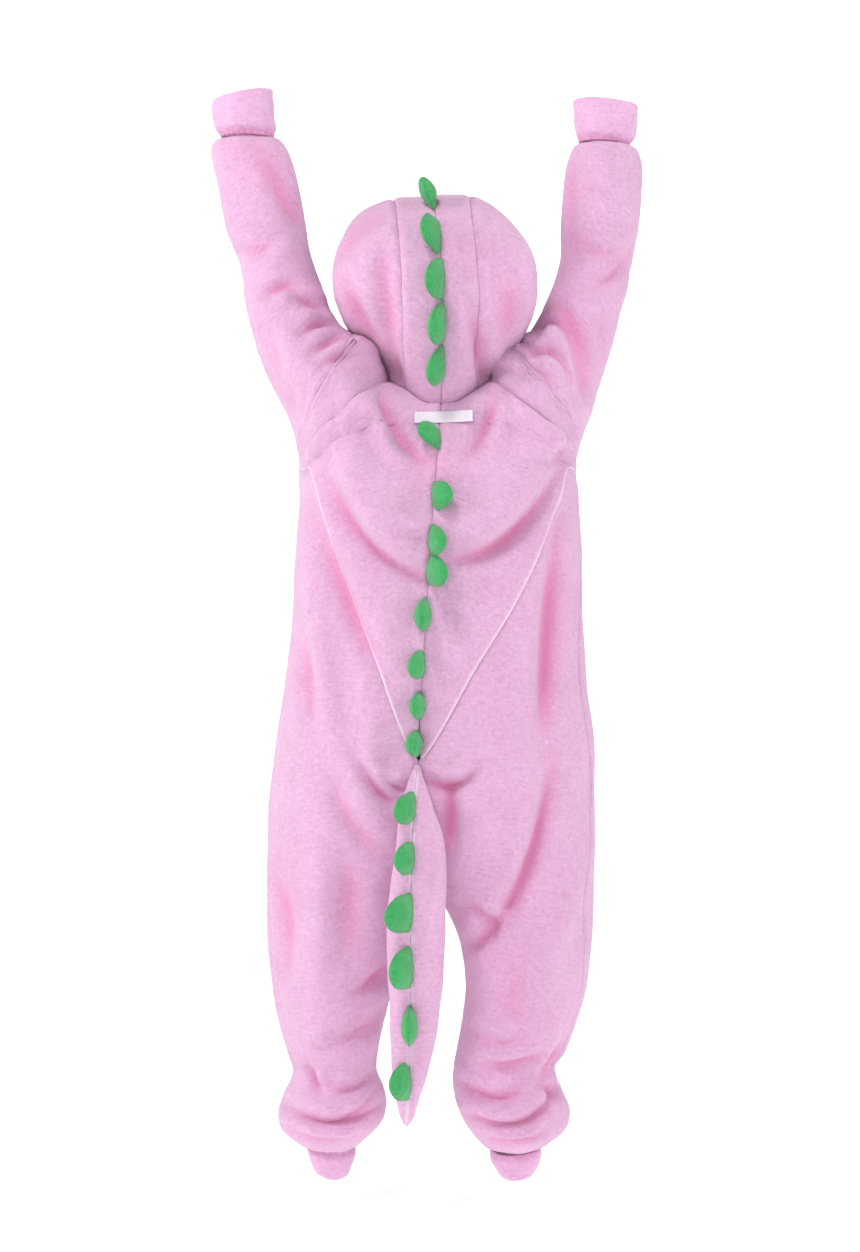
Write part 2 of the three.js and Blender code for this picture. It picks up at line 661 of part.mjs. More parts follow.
// ---- Tail --------------------
const TAIL_STEPS = 6;
const tailAt = (column, z) => linear(TAIL, "z", column, z);
// Half a section: from the seam on the outside round to the seam on the side against the seat.
function tailRing(row, sign) {
  const reach = sign > 0 ? row.left : row.right;
  return range(TAIL_STEPS + 1).map((k) => {
    const turn = (Math.PI * k) / TAIL_STEPS;
    const x = row.seamX + sign * (SEAM + reach * Math.sin(turn) ** 0.8);
    return vec(x, row.yBack + (row.thick / 2) * (1 + Math.cos(turn)), row.z);
  });
}
function tailHalf(sign) {
  const rings = TAIL.map((row) => tailRing(row, sign));
  const position = rings.flat().flatMap((p) => [p.x, p.y, p.z]);
  const n = TAIL_STEPS + 1;
  const index = [];
  for (let r = 0; r < rings.length - 1; r++)
    for (let k = 0; k < n; k++) {
      const [a, b] = [r * n + k, r * n + ((k + 1) % n)];
      index.push(a, b, b + n, a, b + n, a + n);
    }
  for (let k = 1; k < n - 1; k++) {
    const end = (rings.length - 1) * n;
    index.push(0, k + 1, k, end, end + k, end + k + 1);
  }
  return facingOut(position, index);
}
piece("tail_left", tailHalf(1), PINK);
piece("tail_right", tailHalf(-1), PINK);

// ---- Spikes --------------------
// The seam a spike is set in: its point there, and the way out of the cloth.
function seamPoint({ on, at }) {
  if (on === "hood") return hoodPoint(1, at, 0);
  if (on === "tail") return vec(tailAt("seamX", at), tailAt("yBack", at) + tailAt("thick", at), at);
  return LEFT.at(1, at).point;
}
function seamOut({ on, at }) {
  if (on === "hood") return normalOf((t, s) => hoodPoint(1, t, s), at, 0, 0, 1, 0, 1, 1).setX(0).normalize();
  return on === "tail" ? vec(0, 1, 0) : LEFT.at(1, at).normal;
}
// Lays a point on the pieces below it, looking against the outward direction a little to each side of it.
const ray = new THREE.Raycaster();
function rest(pieces, point, out, lift) {
  const heights = [-1, 1].map((x) => {
    ray.set(point.clone().addScaledVector(out, 60).add(vec(x, 0, 0)), out.clone().negate());
    return ray.intersectObjects(pieces)[0]?.point.sub(point).dot(out) ?? 0;
  });
  return point.addScaledVector(out, Math.max(...heights) + lift);
}
const SPIKE_ON = { hood: ["hood_strip"], back: ["yoke", "back"], tail: ["tail"] };
const bothSides = (...names) =>
  names.flatMap((name) => [`${name}_left`, `${name}_right`]).map((name) => group.getObjectByName(name));
const SPIKE_RINGS = [
  // up: share of the height; length and thick: share of the full ones
  [0, 1, 0.4],
  [0.2, 1.02, 0.85],
  [0.5, 0.9, 1],
  [0.78, 0.62, 0.85],
  [0.94, 0.3, 0.45],
].map(named("up length thick"));
const SPIKE_SIDES = 8;
function spikeSolid(spike) {
  const pieces = bothSides(...SPIKE_ON[spike.on]);
  const out = seamOut(spike);
  const along = vec(1, 0, 0).cross(out).normalize();
  const growth = out.clone().add(vec(spike.lean, 0, 0)).normalize();
  const across = along.clone().cross(growth).normalize();
  const root = rest(pieces, seamPoint(spike), out, 0);
  const position = [];
  for (const ring of SPIKE_RINGS)
    for (const k of range(SPIKE_SIDES)) {
      const turn = (2 * Math.PI * k) / SPIKE_SIDES;
      const p = root.clone()
        .addScaledVector(growth, ring.up * spike.height)
        .addScaledVector(along, (spike.length / 2) * ring.length * Math.cos(turn))
        .addScaledVector(across, (SPIKE_THICK / 2) * ring.thick * Math.sin(turn));
      position.push(...(ring.up ? p : rest(pieces, p, out, 2 * CLEAR)));
    }
  position.push(...root.addScaledVector(growth, spike.height));
  const index = [];
  const quad = (a, b, c, d) => index.push(a, b, c, a, c, d);
  const last = SPIKE_RINGS.length - 1;
  for (const k of range(SPIKE_SIDES)) {
    const next = (k + 1) % SPIKE_SIDES;
    for (const r of range(last)) {
      const [a, b] = [r * SPIKE_SIDES + k, r * SPIKE_SIDES + next];
      quad(a, b, b + SPIKE_SIDES, a + SPIKE_SIDES);
    }
    index.push(last * SPIKE_SIDES + k, last * SPIKE_SIDES + next, SPIKE_SIDES * SPIKE_RINGS.length);
  }
  index.push(0, SPIKE_SIDES - 1, 1, 4, 3, 5);
  for (const k of [1, 2]) quad(k, SPIKE_SIDES - k, SPIKE_SIDES - k - 1, k + 1);
  return facingOut(position, index);
}
SPIKES.forEach((spike, i) => piece(`spike_${String(i + 1).padStart(2, "0")}`, spikeSolid(spike), GREEN));

// ---- Label, placket and buttons --------------------
// The label is a flat strip lowered onto the yokes just below the neck seam.
const nape = LEFT.at(1, NECK_BASE + 0.05);
const downBack = nape.normal.clone().cross(vec(1, 0, 0)).normalize();
const labelGrid = LABEL.drops.map((drop) => LABEL.columns.map((x) => {
  const point = nape.point.clone().setX(x).addScaledVector(downBack, drop + LABEL.tilt * x);
  const lift = LABEL.thick / 2 + 3 * CLEAR;
  return { point: rest(bothSides("yoke"), point, nape.normal, lift), normal: nape.normal };
}));
piece("neck_label", wall(labelGrid, { thick: LABEL.thick }), WHITE);
// The placket follows the centre-front seam; its columns run from the left front over the seam to the right
// front.
const placketGrid = PLACKET.stations.map((v) => PLACKET.columns.map((phi) => {
  const { point, normal } = (phi < 0 ? RIGHT : LEFT).at(Math.abs(phi), v);
  return { point: rest(bothSides("front"), point, normal, PLACKET.thick / 2 + 2 * CLEAR), normal };
}));
piece("button_placket", wall(placketGrid, { thick: PLACKET.thick }), PINK);
const BUTTON_PROFILE = [
  // radius, height
  [0, 0],
  [BUTTON.radius - 1, 0],
  [BUTTON.radius, 1],
  [BUTTON.radius, BUTTON.thick - 1],
  [BUTTON.radius - 1, BUTTON.thick],
  [BUTTON.radius - 2.5, BUTTON.thick - 0.8],
  [0, BUTTON.thick - 0.8],
].map(([radius, height]) => new THREE.Vector2(radius, height));
BUTTON.stations.forEach((v, i) => {
  const { point, normal } = LEFT.at(0, v);
  const mesh = piece(`button_${i + 1}`, new THREE.LatheGeometry(BUTTON_PROFILE, 14), BUTTON_PINK);
  mesh.quaternion.setFromUnitVectors(vec(0, 1, 0), normal);
  mesh.position.copy(rest([group.getObjectByName("button_placket")], point, normal, 3 * CLEAR));
});

export default group;
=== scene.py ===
# %% [markdown]
# # A child's dinosaur onesie in brushed fleece
# A onesie is one garment from the hood to the ankles. This lesson dresses its imported CAD model: every
# cut-and-sewn piece becomes a thin closed shell of cloth with the folds it has when it is worn with both
# arms raised. The imported model is loaded first and isn't changed.

# %% Load the imported model
import json
import math

import bpy
import numpy as np
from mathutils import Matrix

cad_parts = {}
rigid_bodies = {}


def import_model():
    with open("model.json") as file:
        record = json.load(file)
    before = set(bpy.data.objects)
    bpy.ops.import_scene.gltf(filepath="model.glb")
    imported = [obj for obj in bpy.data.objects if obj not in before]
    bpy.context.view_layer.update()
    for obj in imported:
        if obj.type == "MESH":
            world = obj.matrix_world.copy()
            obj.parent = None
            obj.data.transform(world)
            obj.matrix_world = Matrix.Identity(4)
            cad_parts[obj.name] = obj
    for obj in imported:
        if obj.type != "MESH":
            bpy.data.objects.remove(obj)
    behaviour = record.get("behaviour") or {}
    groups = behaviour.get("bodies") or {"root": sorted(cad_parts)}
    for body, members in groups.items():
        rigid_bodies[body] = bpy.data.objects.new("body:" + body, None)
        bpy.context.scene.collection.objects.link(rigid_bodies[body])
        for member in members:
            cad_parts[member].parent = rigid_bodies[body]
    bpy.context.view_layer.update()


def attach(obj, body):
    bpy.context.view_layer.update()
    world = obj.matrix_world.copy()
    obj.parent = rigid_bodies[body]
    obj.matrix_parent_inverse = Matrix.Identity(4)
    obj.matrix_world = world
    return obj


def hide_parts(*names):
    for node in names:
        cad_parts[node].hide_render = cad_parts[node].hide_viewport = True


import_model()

MM = 0.001  # shapes are worked out in millimetres and made in metres
BODY = "root"

# %% [markdown]
# ## Camera, floor and light
# The garment is seen from behind, from level with the seat. The camera stands three metres away, so the
# arms and the ankles are seen in mild perspective. The studio is white all round, which gives the folds
# soft shading.

# %% Camera
CAMERA_DISTANCE = 3.0
CAMERA_HEIGHT = -0.2592
CAMERA_LENS = 71.9
camera_data = bpy.data.cameras.new("studio_camera")
camera_data.lens = CAMERA_LENS
camera_data.sensor_width = 36
camera = bpy.data.objects.new("studio_camera", camera_data)
camera.location = (0, CAMERA_DISTANCE, CAMERA_HEIGHT)
camera.rotation_euler = (math.radians(90), 0, math.radians(180))
bpy.context.collection.objects.link(camera)
bpy.context.scene.camera = camera
print("camera looks along -Y from", tuple(camera.location))

# %% Floor and backdrop
FLOOR_Z = -0.944  # where the wearer's soles would be
STUDIO_HALF = 7.0


def studio_sheet(name, corners, glow):
    """A flat white sheet of the studio, which glows a little as brightly lit paper does."""
    mesh = bpy.data.meshes.new(name)
    mesh.from_pydata(corners, [], [(0, 1, 2, 3)])
    sheet = bpy.data.objects.new(name, mesh)
    bpy.context.collection.objects.link(sheet)
    paint = bpy.data.materials.new(name + "_paint")
    paint.use_nodes = True
    shader = paint.node_tree.nodes["Principled BSDF"]
    shader.inputs["Base Color"].default_value = (0.9, 0.9, 0.9, 1)
    shader.inputs["Roughness"].default_value = 0.9
    shader.inputs["Specular IOR Level"].default_value = 0.1
    shader.inputs["Emission Color"].default_value = (1, 1, 1, 1)
    shader.inputs["Emission Strength"].default_value = glow
    mesh.materials.append(paint)


FLOOR_GLOW, BACKDROP_GLOW, WALL_GLOW = 0.42, 0.75, 0.1
half = STUDIO_HALF
corners = [(-half, -half), (half, -half), (half, half), (-half, half)]
studio_sheet("studio_floor", [(x, y, FLOOR_Z) for x, y in corners], FLOOR_GLOW)
for i, word in enumerate(("backdrop", "wall_left", "wall_behind", "wall_right")):
    (x1, y1), (x2, y2) = corners[i], corners[(i + 1) % 4]
    studio_sheet("studio_" + word, [(x1, y1, FLOOR_Z), (x1, y1, half), (x2, y2, half), (x2, y2, FLOOR_Z)],
                 WALL_GLOW if i else BACKDROP_GLOW)

# %% Light
world = bpy.data.worlds.new("white_studio")
world.use_nodes = True
world.node_tree.nodes["Background"].inputs["Color"].default_value = (1, 1, 1, 1)
world.node_tree.nodes["Background"].inputs["Strength"].default_value = 0.1
bpy.context.scene.world = world
bpy.context.scene.view_settings.view_transform = "Standard"
SOFT_BOXES = {
    # name: place, what it points at, size, watts
    "soft_box_high": ((0.9, 1.7, 2.6), (0, 0, -0.1), 0.8, 48),
    "soft_box_left": ((2.5, 0.6, 0.7), (0, 0, -0.3), 1.1, 20),
    "soft_box_right": ((-2.5, 0.4, 0.8), (0, 0, -0.3), 1.1, 19),
    "soft_box_front": ((0.3, -3.4, 1.2), (0, 0, -0.2), 1.4, 13),
    "soft_box_low": ((0.1, 2.6, -0.5), (0, 0, -0.6), 1.0, 7),
}


def soft_box(name, place, target, size, watts):
    """A square area light at a place, turned so that its face looks at the target."""
    light = bpy.data.lights.new(name, "AREA")
    light.size = size
    light.energy = watts
    lamp = bpy.data.objects.new(name, light)
    lamp.location = place
    lamp.visible_camera = False
    way = np.subtract(place, target)
    tilt = math.atan2(math.hypot(way[0], way[1]), way[2])
    lamp.rotation_euler = (tilt, 0, math.atan2(way[1], way[0]) + math.pi / 2)
    bpy.context.collection.objects.link(lamp)


for box_name, settings in SOFT_BOXES.items():
    soft_box(box_name, *settings)
print("lights:", len(SOFT_BOXES))

# %% [markdown]
# ## The body's surface
# The body is cut as two halves. A half is a run of rings ("stations"), from the wrist over the shoulder and
# down the side and the leg to the ankle. Each ring starts at the centre front, passes the side seam and
# ends at the centre back. The tables give the rings a row each, and a smooth curve runs through the rows.

# %% Tables of the body
UNDERARM, SHOULDER, NECK_BASE, TAIL_ROOT, CROTCH, ANKLE = 10, 7.5, 14, 19.35, 24, 34
# closed, end front, end back, lobe front, lobe back, middle y, pitch
DEPTH = np.array([
    [1, 0, 0, 33, 33, -20, 0],
    [1, 0, 0, 44, 44, -20, 0],
    [1, 0, 0, 45, 45, -22, 0],
    [1, 0, 0, 45, 46, -22, 0],
    [1, 0, 0, 48, 49, -18, 0],
    [1, 0, 0, 52, 53, -12, 0],
    [1, 0, 0, 57, 59, -6, 0],
    [1, 0, 0, 64, 67, 0, 0],
    [1, 0, 0, 71, 77, 2, 0],
    [1, 0, 0, 77, 85, 2, 0],
    [1, 0, 0, 80, 90, 0, 0],
    [0.86, 23, 23, 70, 82, 0, 0.08],
    [0.62, 41, 41, 52, 66, 0, 0.16],
    [0.36, 50, 50, 36, 50, 0, 0.24],
    [0.18, 52, 54, 28, 47, 0, 0.3],
    [0.02, 82, 98, 10, 16, 0, 0.12],
    [0, 96, 112, 4, 6, 0, 0.03],
    [0, 102, 106, 4, 4, 0, 0],
    [0, 106, 102, 4, 6, 0, 0],
    [0, 108, 100, 6, 12, 0, 0],
    [0.06, 106, 98, 10, 18, 0, 0],
    [0.3, 94, 88, 22, 30, 0, 0],
    [0.62, 66, 62, 43, 51, 0, 0],
    [0.88, 34, 32, 66, 73, 0, 0],
    [1, 0, 0, 91, 96, 0, 0],
    [1, 0, 0, 91, 95, 0, 0],
    [1, 0, 0, 90, 91, 0, 0],
    [1, 0, 0, 85, 86, 0, 0],
    [1, 0, 0, 79, 80, 0, 0],
    [1, 0, 0, 72, 72, 2, 0],
    [1, 0, 0, 62, 60, 4, 0.02],
    [1, 0, 0, 66, 70, 4, -0.06],
    [1, 0, 0, 68, 76, 4, -0.1],
    [1, 0, 0, 64, 70, 4, -0.1],
    [1, 0, 0, 38, 38, 6, -0.1],
])
# stations, and how far the shoulder's top rides up there
BUNCH = ([5.0, 7.0, 8.5, 9.4, 10.0], [0, 5, 9, 6, 0])
# side seam x, side seam z, ends x, ends z
OUTLINE = {
    1: np.array([
        [256, 329, 185, 328], [263, 312, 173, 313], [252, 264, 162, 274], [241, 210, 152, 224],
        [226, 169, 145, 188],
        [220, 132, 131, 150], [211, 90, 119, 116], [196, 46, 103, 88], [177, 10, 84, 72], [162, -24, 66, 56],
        [154, -55, 52, 34], [153.5, -66, 45, 27], [153.5, -78, 26, 12], [154, -90, 4, -8],
        [154, -104, -13, -14],
        [158, -150, -9, -66], [162, -205, -2, -140], [167, -268, 3, -224], [174, -332, 8, -300],
        [183, -400, 13, -392], [190, -466, 12, -450], [193, -520, 9, -496], [194, -560, 7, -530],
        [194, -588, 6, -549], [194, -606, 6, -556], [193, -632, 19, -588], [190, -664, 33, -636],
        [185, -700, 45, -684], [176, -738, 55, -728], [167, -768, 62, -764], [160, -793, 64, -790],
        [172, -820, 56, -812], [178, -840, 53, -832], [172, -859, 60, -852], [150, -874, 88, -876],
    ]),
    -1: np.array([
        [-244, 318, -176, 323], [-252, 298, -167, 302], [-252, 258, -162, 268], [-247, 206, -161, 218],
        [-237, 158, -159, 182], [-225, 114, -145, 142], [-214, 70, -129, 108], [-202, 30, -112, 78],
        [-192, -2, -96, 58], [-182, -30, -84, 44], [-175, -55, -74, 30], [-173, -66, -69, 24],
        [-173, -78, -52, 10],
        [-174, -90, -30, -8], [-176, -104, -13, -14], [-179, -150, -9, -66], [-180, -205, -2, -140],
        [-181, -268, 3, -224], [-186, -332, 8, -300], [-196, -400, 13, -392], [-197, -466, 12, -450],
        [-197, -520, 9, -496], [-195, -560, 7, -530], [-194, -588, 6, -549], [-193, -606, 6, -556],
        [-191, -632, -17, -588], [-187, -664, -38, -636], [-181, -700, -46, -684], [-170, -738, -42, -728],
        [-160, -768, -36, -764], [-148, -790, -31, -788], [-158, -816, -30, -808], [-166, -840, -35, -832],
        [-158, -861, -48, -856], [-134, -878, -68, -880],
    ]),
}
SIDES = {1: "left", -1: "right"}
print("stations on each side:", len(DEPTH))

# %% [markdown]
# The two helpers below read a table at a fractional row. The first runs a smooth curve through the rows
# (Catmull-Rom: at each row the curve is parallel to the line between the rows on either side). The second
# goes straight from row to row.

# %% Curves through a table


def smooth_rows(table, place, breaks=()):
    """Catmull-Rom through the rows of a table at fractional rows. Between rows b and c, with a before and d
    after: b + f/2 ((c - a) + f (2a - 5b + 4c - d + f (3(b - c) + d - a))). At a break the far row is
    mirrored."""
    table = np.asarray(table, float)
    last = len(table) - 1
    i = np.clip(np.floor(place).astype(int), 0, last - 1)
    f = place - i
    b, c = table[i], table[i + 1]
    a = np.where(np.isin(i, breaks), 2 * b - c, table[np.clip(i - 1, 0, last)])
    d = np.where(np.isin(i + 1, breaks), 2 * c - b, table[np.clip(i + 2, 0, last)])
    return b + 0.5 * f * (c - a + f * (2 * a - 5 * b + 4 * c - d + f * (3 * (b - c) + d - a)))


def straight_rows(table, column, place):
    """Straight lines through a table whose first column is the place."""
    table = np.asarray(table, float)
    order = np.argsort(table[:, 0])
    return np.interp(place, table[order, 0], table[order, column])


def mix(a, b, share):
    """a where share is 0, b where it is 1."""
    return a + (b - a) * share


def step(low, high, value):
    """0 below low, 1 above high, with a soft S between: 3t^2 - 2t^3."""
    t = np.clip((value - low) / (high - low), 0, 1)
    return t * t * (3 - 2 * t)


# %% The ring formula


def body_point(side, phi, v):
    """A point of the body's cloth at phi round the ring and station v. Across the ring x and z go from the
    ends to the side by sin(pi phi) on an open ring and (1 - cos(2 pi phi)) / 2 on a closed one. Depth is
    -cos(pi phi) of the ends plus -sin(2 pi phi) of the lobes, and z also rises by pitch times depth."""
    phi, v = np.broadcast_arrays(np.asarray(phi, float), np.asarray(v, float))
    column = [smooth_rows(DEPTH[:, k], v) for k in range(DEPTH.shape[1])]
    closed, end_front, end_back, lobe_front, lobe_back, middle, pitch = column
    tube = (v >= CROTCH) | (v <= UNDERARM)
    closed = np.clip(closed, 0, 1)
    x_side, z_side = (smooth_rows(OUTLINE[side][:, k], v) for k in (0, 1))
    x_end, z_end = (smooth_rows(OUTLINE[side][:, k], v, (NECK_BASE, CROTCH)) for k in (2, 3))
    across = mix(np.sin(np.pi * phi), (1 - np.cos(2 * np.pi * phi)) / 2, closed)
    ends = np.where(tube, 0, -np.cos(np.pi * phi))
    lobes = -np.sin(2 * np.pi * phi)
    y = middle + ends * np.where(ends < 0, end_front, end_back)
    y = y + lobes * np.where(lobes < 0, lobe_front, lobe_back)
    z = mix(z_end, z_side, across) + pitch * y
    z = z + np.interp(v, *BUNCH) * (1 - across) ** 2
    return np.stack([mix(x_end, x_side, across), y, z], -1)


def unit(vectors):
    """Vectors brought to length 1."""
    return vectors / np.maximum(np.linalg.norm(vectors, axis=-1, keepdims=True), 1e-9)


def surface_normal(surface, a, b, limits, turn):
    """Outward normal of a surface of two parameters: the cross product of its two central differences."""
    (low_a, high_a), (low_b, high_b) = limits
    da, db = 0.004, 0.02
    along_a = surface(np.minimum(a + da, high_a), b) - surface(np.maximum(a - da, low_a), b)
    along_b = surface(a, np.minimum(b + db, high_b)) - surface(a, np.maximum(b - db, low_b))
    return unit(np.cross(along_a, along_b)) * turn


def body_normal(side, phi, v):
    """Outward normal of the body's cloth."""
    return surface_normal(lambda a, b: body_point(side, a, b), phi, v, ((0, 1), (0, ANKLE)), -side)


print("waist half ring, left:", np.round(body_point(1, np.linspace(0, 1, 5), 18.0)).tolist())

# %% [markdown]
# ## Folds
# Cloth falls in folds that fan out from where it is held or squeezed: the raised shoulders, the neck, the
# root of the tail, the knees and the ankles. Each fold here is a curve through three places, drawn on the
# garment as seen from behind or from the front, with a rounded profile. A lip is the roll of cloth that
# stands up beside a crease. They are placed one by one, because a simulation without the wearer inside would
# let the garment fall flat.

# %% Table of folds
# facing (1 from behind, -1 from the front), three places (x, z), reach, height,
# lip (+ to the left of the way it runs)
FOLDS = np.array([
    # the pouch of the yoke over the shoulder blades
    [1, 116, -69, 77, -156, 0, -205, 11, -15, 7],
    [1, -20, -182, -94, -152, -155, -59, 11, -15, 7],
    [1, 49, -147, 21, -158, -8, -166, 8, -6, 4],
    [1, -110, -76, -136, -65, -160, -49, 8, -7, 3],
    [1, 112, -10, 64, -118, -4, -160, 30, 14, 0],
    [1, -4, -150, -84, -112, -142, -24, 30, 13, 0],
    [1, 92, -150, 60, -250, 20, -340, 30, 5, 0],
    [1, -84, -172, -60, -260, -16, -340, 30, 5, 0],
    # from the sides of the neck
    [1, 55, 17, 44, -27, 7, -69, 9, -11, -5],
    [1, -72, 13, -67, -24, -46, -61, 9, -10, 5],
    [1, 84, -20, 70, -47, 56, -66, 11, -6, 3],
    [1, -86, 23, -92, 5, -98, -9, 8, -5, 2],
    [1, 30, -6, 24, -16, 14, -22, 8, 4, 0],
    # rolls of cloth bunched against the hood
    [1, 118, 96, 88, 68, 54, 42, 13, 12, 0],
    [1, -124, 92, -98, 66, -72, 38, 13, 12, 0],
    # arcs over the shoulders, left then right
    [1, 160, 126, 140, 124, 119, 108, 7, -9, 5],
    [1, 150, 86, 124, 99, 100, 84, 7, -10, 5],
    [1, 136, 60, 112, 78, 86, 68, 7, -10, 5],
    [1, 126, 44, 98, 60, 66, 50, 6, -9, 5],
    [1, 142, 21, 146, -4, 152, -30, 9, -6, 0],
    [1, 118, 24, 112, 0, 108, -30, 12, -5, 3],
    [1, -122, 84, -153, 97, -184, 10, 8, -12, -6],
    [1, -99, 51, -145, 62, -168, 8, 7, -11, -6],
    [1, -78, 30, -92, 40, -104, 34, 6, -7, 4],
    [1, -90, 62, -108, 76, -126, 64, 6, -8, 4],
    [1, -112, 36, -132, 38, -146, 8, 7, -7, -4],
    # sleeves
    [1, 208, 316, 170, 250, 151, 217, 13, -9, 4],
    [1, 150, 138, 175, 143, 204, 124, 9, -10, 5],
    [1, 164, 33, 166, -2, 172, -38, 11, -7, 3],
    [1, 226, 150, 205, 120, 196, 80, 15, 6, 0],
    [1, 252, 300, 240, 240, 214, 190, 16, 5, 0],
    [1, 186, 196, 206, 186, 232, 190, 9, -6, 4],
    [1, 196, 100, 184, 60, 180, 20, 10, -6, 3],
    [1, -138, 126, -172, 93, -190, 21, 9, -10, -5],
    [1, -172, 300, -162, 240, -166, 178, 13, -8, 0],
    [1, -246, 200, -222, 160, -186, 138, 10, -8, 4],
    [1, -196, 300, -216, 262, -210, 200, 15, 6, 0],
    [1, -178, 200, -200, 184, -228, 190, 9, -6, 3],
    [1, -200, 110, -206, 70, -200, 26, 11, -6, 3],
    # lower back, beside the yoke's seam
    [1, 140, -120, 97, -229, 50, -322, 13, -13, 0],
    [1, 143, -156, 124, -295, 112, -376, 15, 9, 0],
    [1, 146, -262, 142, -321, 134, -380, 11, -9, 3],
    [1, -151, -132, -140, -269, -132, -398, 13, -13, -4],
    [1, -112, -190, -96, -290, -92, -380, 22, 7, 0],
    [1, 78, -310, 66, -370, 74, -436, 20, 7, 0],
    [1, -50, -330, -74, -380, -70, -430, 18, 6, 0],
    # gathers at the seat
    [1, 84, -408, 64, -448, 38, -462, 8, -13, 6],
    [1, 52, -436, 38, -446, 24, -445, 6, -9, 4],
    [1, 4, -436, -27, -444, -58, -424, 8, -13, 6],
    [1, -24, -446, -24, -486, -20, -522, 10, -15, 5],
    [1, 112, -430, 92, -484, 48, -526, 13, -9, 5],
    [1, -40, -452, -62, -480, -66, -520, 12, 6, 0],
    # right leg
    [1, -141, -414, -119, -526, -72, -611, 11, -14, -6],
    [1, -74, -607, -60, -626, -42, -636, 9, -10, -5],
    [1, -40, -584, -60, -594, -74, -611, 7, -8, 4],
    [1, -178, -509, -146, -618, -130, -690, 16, 9, 0],
    [1, -104, -640, -96, -690, -104, -740, 18, -5, 0],
    [1, -64, -773, -99, -774, -134, -762, 8, -10, 5],
    [1, -40, -801, -76, -811, -106, -803, 8, -11, 5],
    [1, -60, -740, -84, -748, -110, -742, 9, -6, 4],
    # left leg
    [1, 98, -530, 93, -584, 96, -640, 18, -9, 0],
    [1, 134, -490, 128, -590, 132, -700, 18, 7, 0],
    [1, 44, -655, 62, -676, 86, -688, 9, -10, 5],
    [1, 186, -560, 170, -600, 168, -670, 10, -7, 0],
    [1, 60, -720, 84, -736, 112, -740, 10, -6, 4],
    [1, 150, -740, 128, -752, 104, -744, 9, -5, 4],
    # stacked cloth above the ankles
    [1, 142, -774, 137, -793, 128, -808, 7, -9, 4],
    [1, 108, -832, 88, -828, 66, -812, 6, -9, 4],
    [1, 166, -829, 111, -839, 60, -829, 7, -14, 6],
    [1, 120, -800, 96, -804, 74, -794, 7, -8, 4],
    [1, 160, -852, 120, -862, 84, -856, 6, -7, 4],
    [1, -50, -838, -104, -840, -150, -810, 7, -14, 6],
    [1, -150, -814, -142, -806, -130, -800, 6, -9, 4],
    [1, -132, -790, -147, -774, -158, -750, 7, -9, 4],
    [1, -60, -858, -96, -864, -134, -852, 6, -7, 4],
    # the front, which isn't seen from the camera's side
    [-1, 128, -60, 84, -150, 20, -178, 12, -7, -4],
    [-1, -148, -60, -100, -152, -44, -180, 12, -7, 4],
    [-1, 120, 20, 80, -40, 30, -62, 12, -6, -3],
    [-1, -140, 14, -96, -40, -50, -66, 12, -6, 3],
    [-1, 150, -96, 134, -230, 118, -400, 16, -7, 3],
    [-1, -166, -100, -150, -250, -130, -410, 16, -7, -3],
    [-1, 100, -230, 84, -330, 92, -440, 22, 5, 0],
    [-1, -96, -210, -110, -320, -96, -450, 22, 5, 0],
    [-1, 96, -470, 60, -500, 20, -512, 9, -6, 3],
    [-1, -84, -466, -52, -498, -8, -508, 9, -6, -3],
    [-1, 150, -540, 122, -620, 96, -690, 12, -7, 4],
    [-1, -150, -530, -118, -610, -86, -670, 12, -7, -4],
    [-1, 134, -706, 100, -716, 62, -708, 9, -5, 3],
    [-1, -140, -716, -100, -730, -56, -722, 9, -5, -3],
    [-1, 130, -768, 104, -776, 76, -770, 7, -5, 3],
    [-1, 164, -834, 108, -846, 62, -834, 8, -8, 4],
    [-1, -148, -836, -100, -848, -46, -838, 8, -8, -4],
    [-1, 150, 110, 126, 112, 104, 96, 7, -6, 3],
    [-1, 146, 66, 120, 76, 92, 62, 7, -6, 3],
    [-1, -140, 108, -164, 104, -190, 60, 8, -6, -3],
    [-1, -112, 60, -146, 62, -170, 26, 7, -6, -3],
    [-1, 236, 250, 214, 230, 184, 226, 9, -5, 3],
    [-1, 206, 150, 180, 140, 156, 146, 8, -6, 3],
    [-1, -238, 244, -214, 222, -184, 222, 9, -5, -3],
    [-1, -214, 132, -190, 122, -164, 132, 8, -6, -3],
    [-1, 14, -560, 52, -600, 60, -660, 10, -6, 0],
    [-1, -10, -560, -44, -604, -60, -660, 10, -6, 0],
])
HOOD_FOLDS = np.array([
    [1, 100, 134, 79, 89, 54, 40, 11, -10, 4],
    [1, 52, 180, 50, 97, 37, 10, 13, -10, 0],
    [1, 88, 70, 70, 46, 48, 26, 8, -7, 3],
    [1, 44, 44, 36, 20, 32, 0, 8, -8, 0],
    [1, -46, 104, -61, 50, -74, 16, 11, -11, 5],
    [1, -34, 112, -38, 82, -42, 50, 10, 7, 0],
    [1, -70, 30, -62, 12, -60, 0, 8, -8, 0],
    [1, -86, 38, -78, 28, -68, 24, 6, -7, 3],
    [1, -100, 160, -92, 100, -82, 60, 16, -7, 0],
    [1, 112, 170, 92, 208, 50, 236, 26, -7, 0],
    [1, -34, 250, -54, 238, -72, 214, 22, 4, 0],
    [1, 108, 90, 88, 56, 62, 30, 15, 9, 0],
    [1, -112, 90, -94, 56, -70, 30, 15, 9, 0],
    [1, -90, 190, -104, 170, -112, 140, 20, 3, 0],
    [-1, 90, 170, 96, 110, 84, 60, 12, -6, 3],
    [-1, -96, 170, -100, 110, -88, 60, 12, -6, -3],
])
CURVE_SAMPLES = 25
LIP_PLACE, LIP_REACH = 1.9, 1.3  # in reaches of the fold


FOLD_GAIN = 1.2  # multiplies each fold's height in the tables, and not its lip


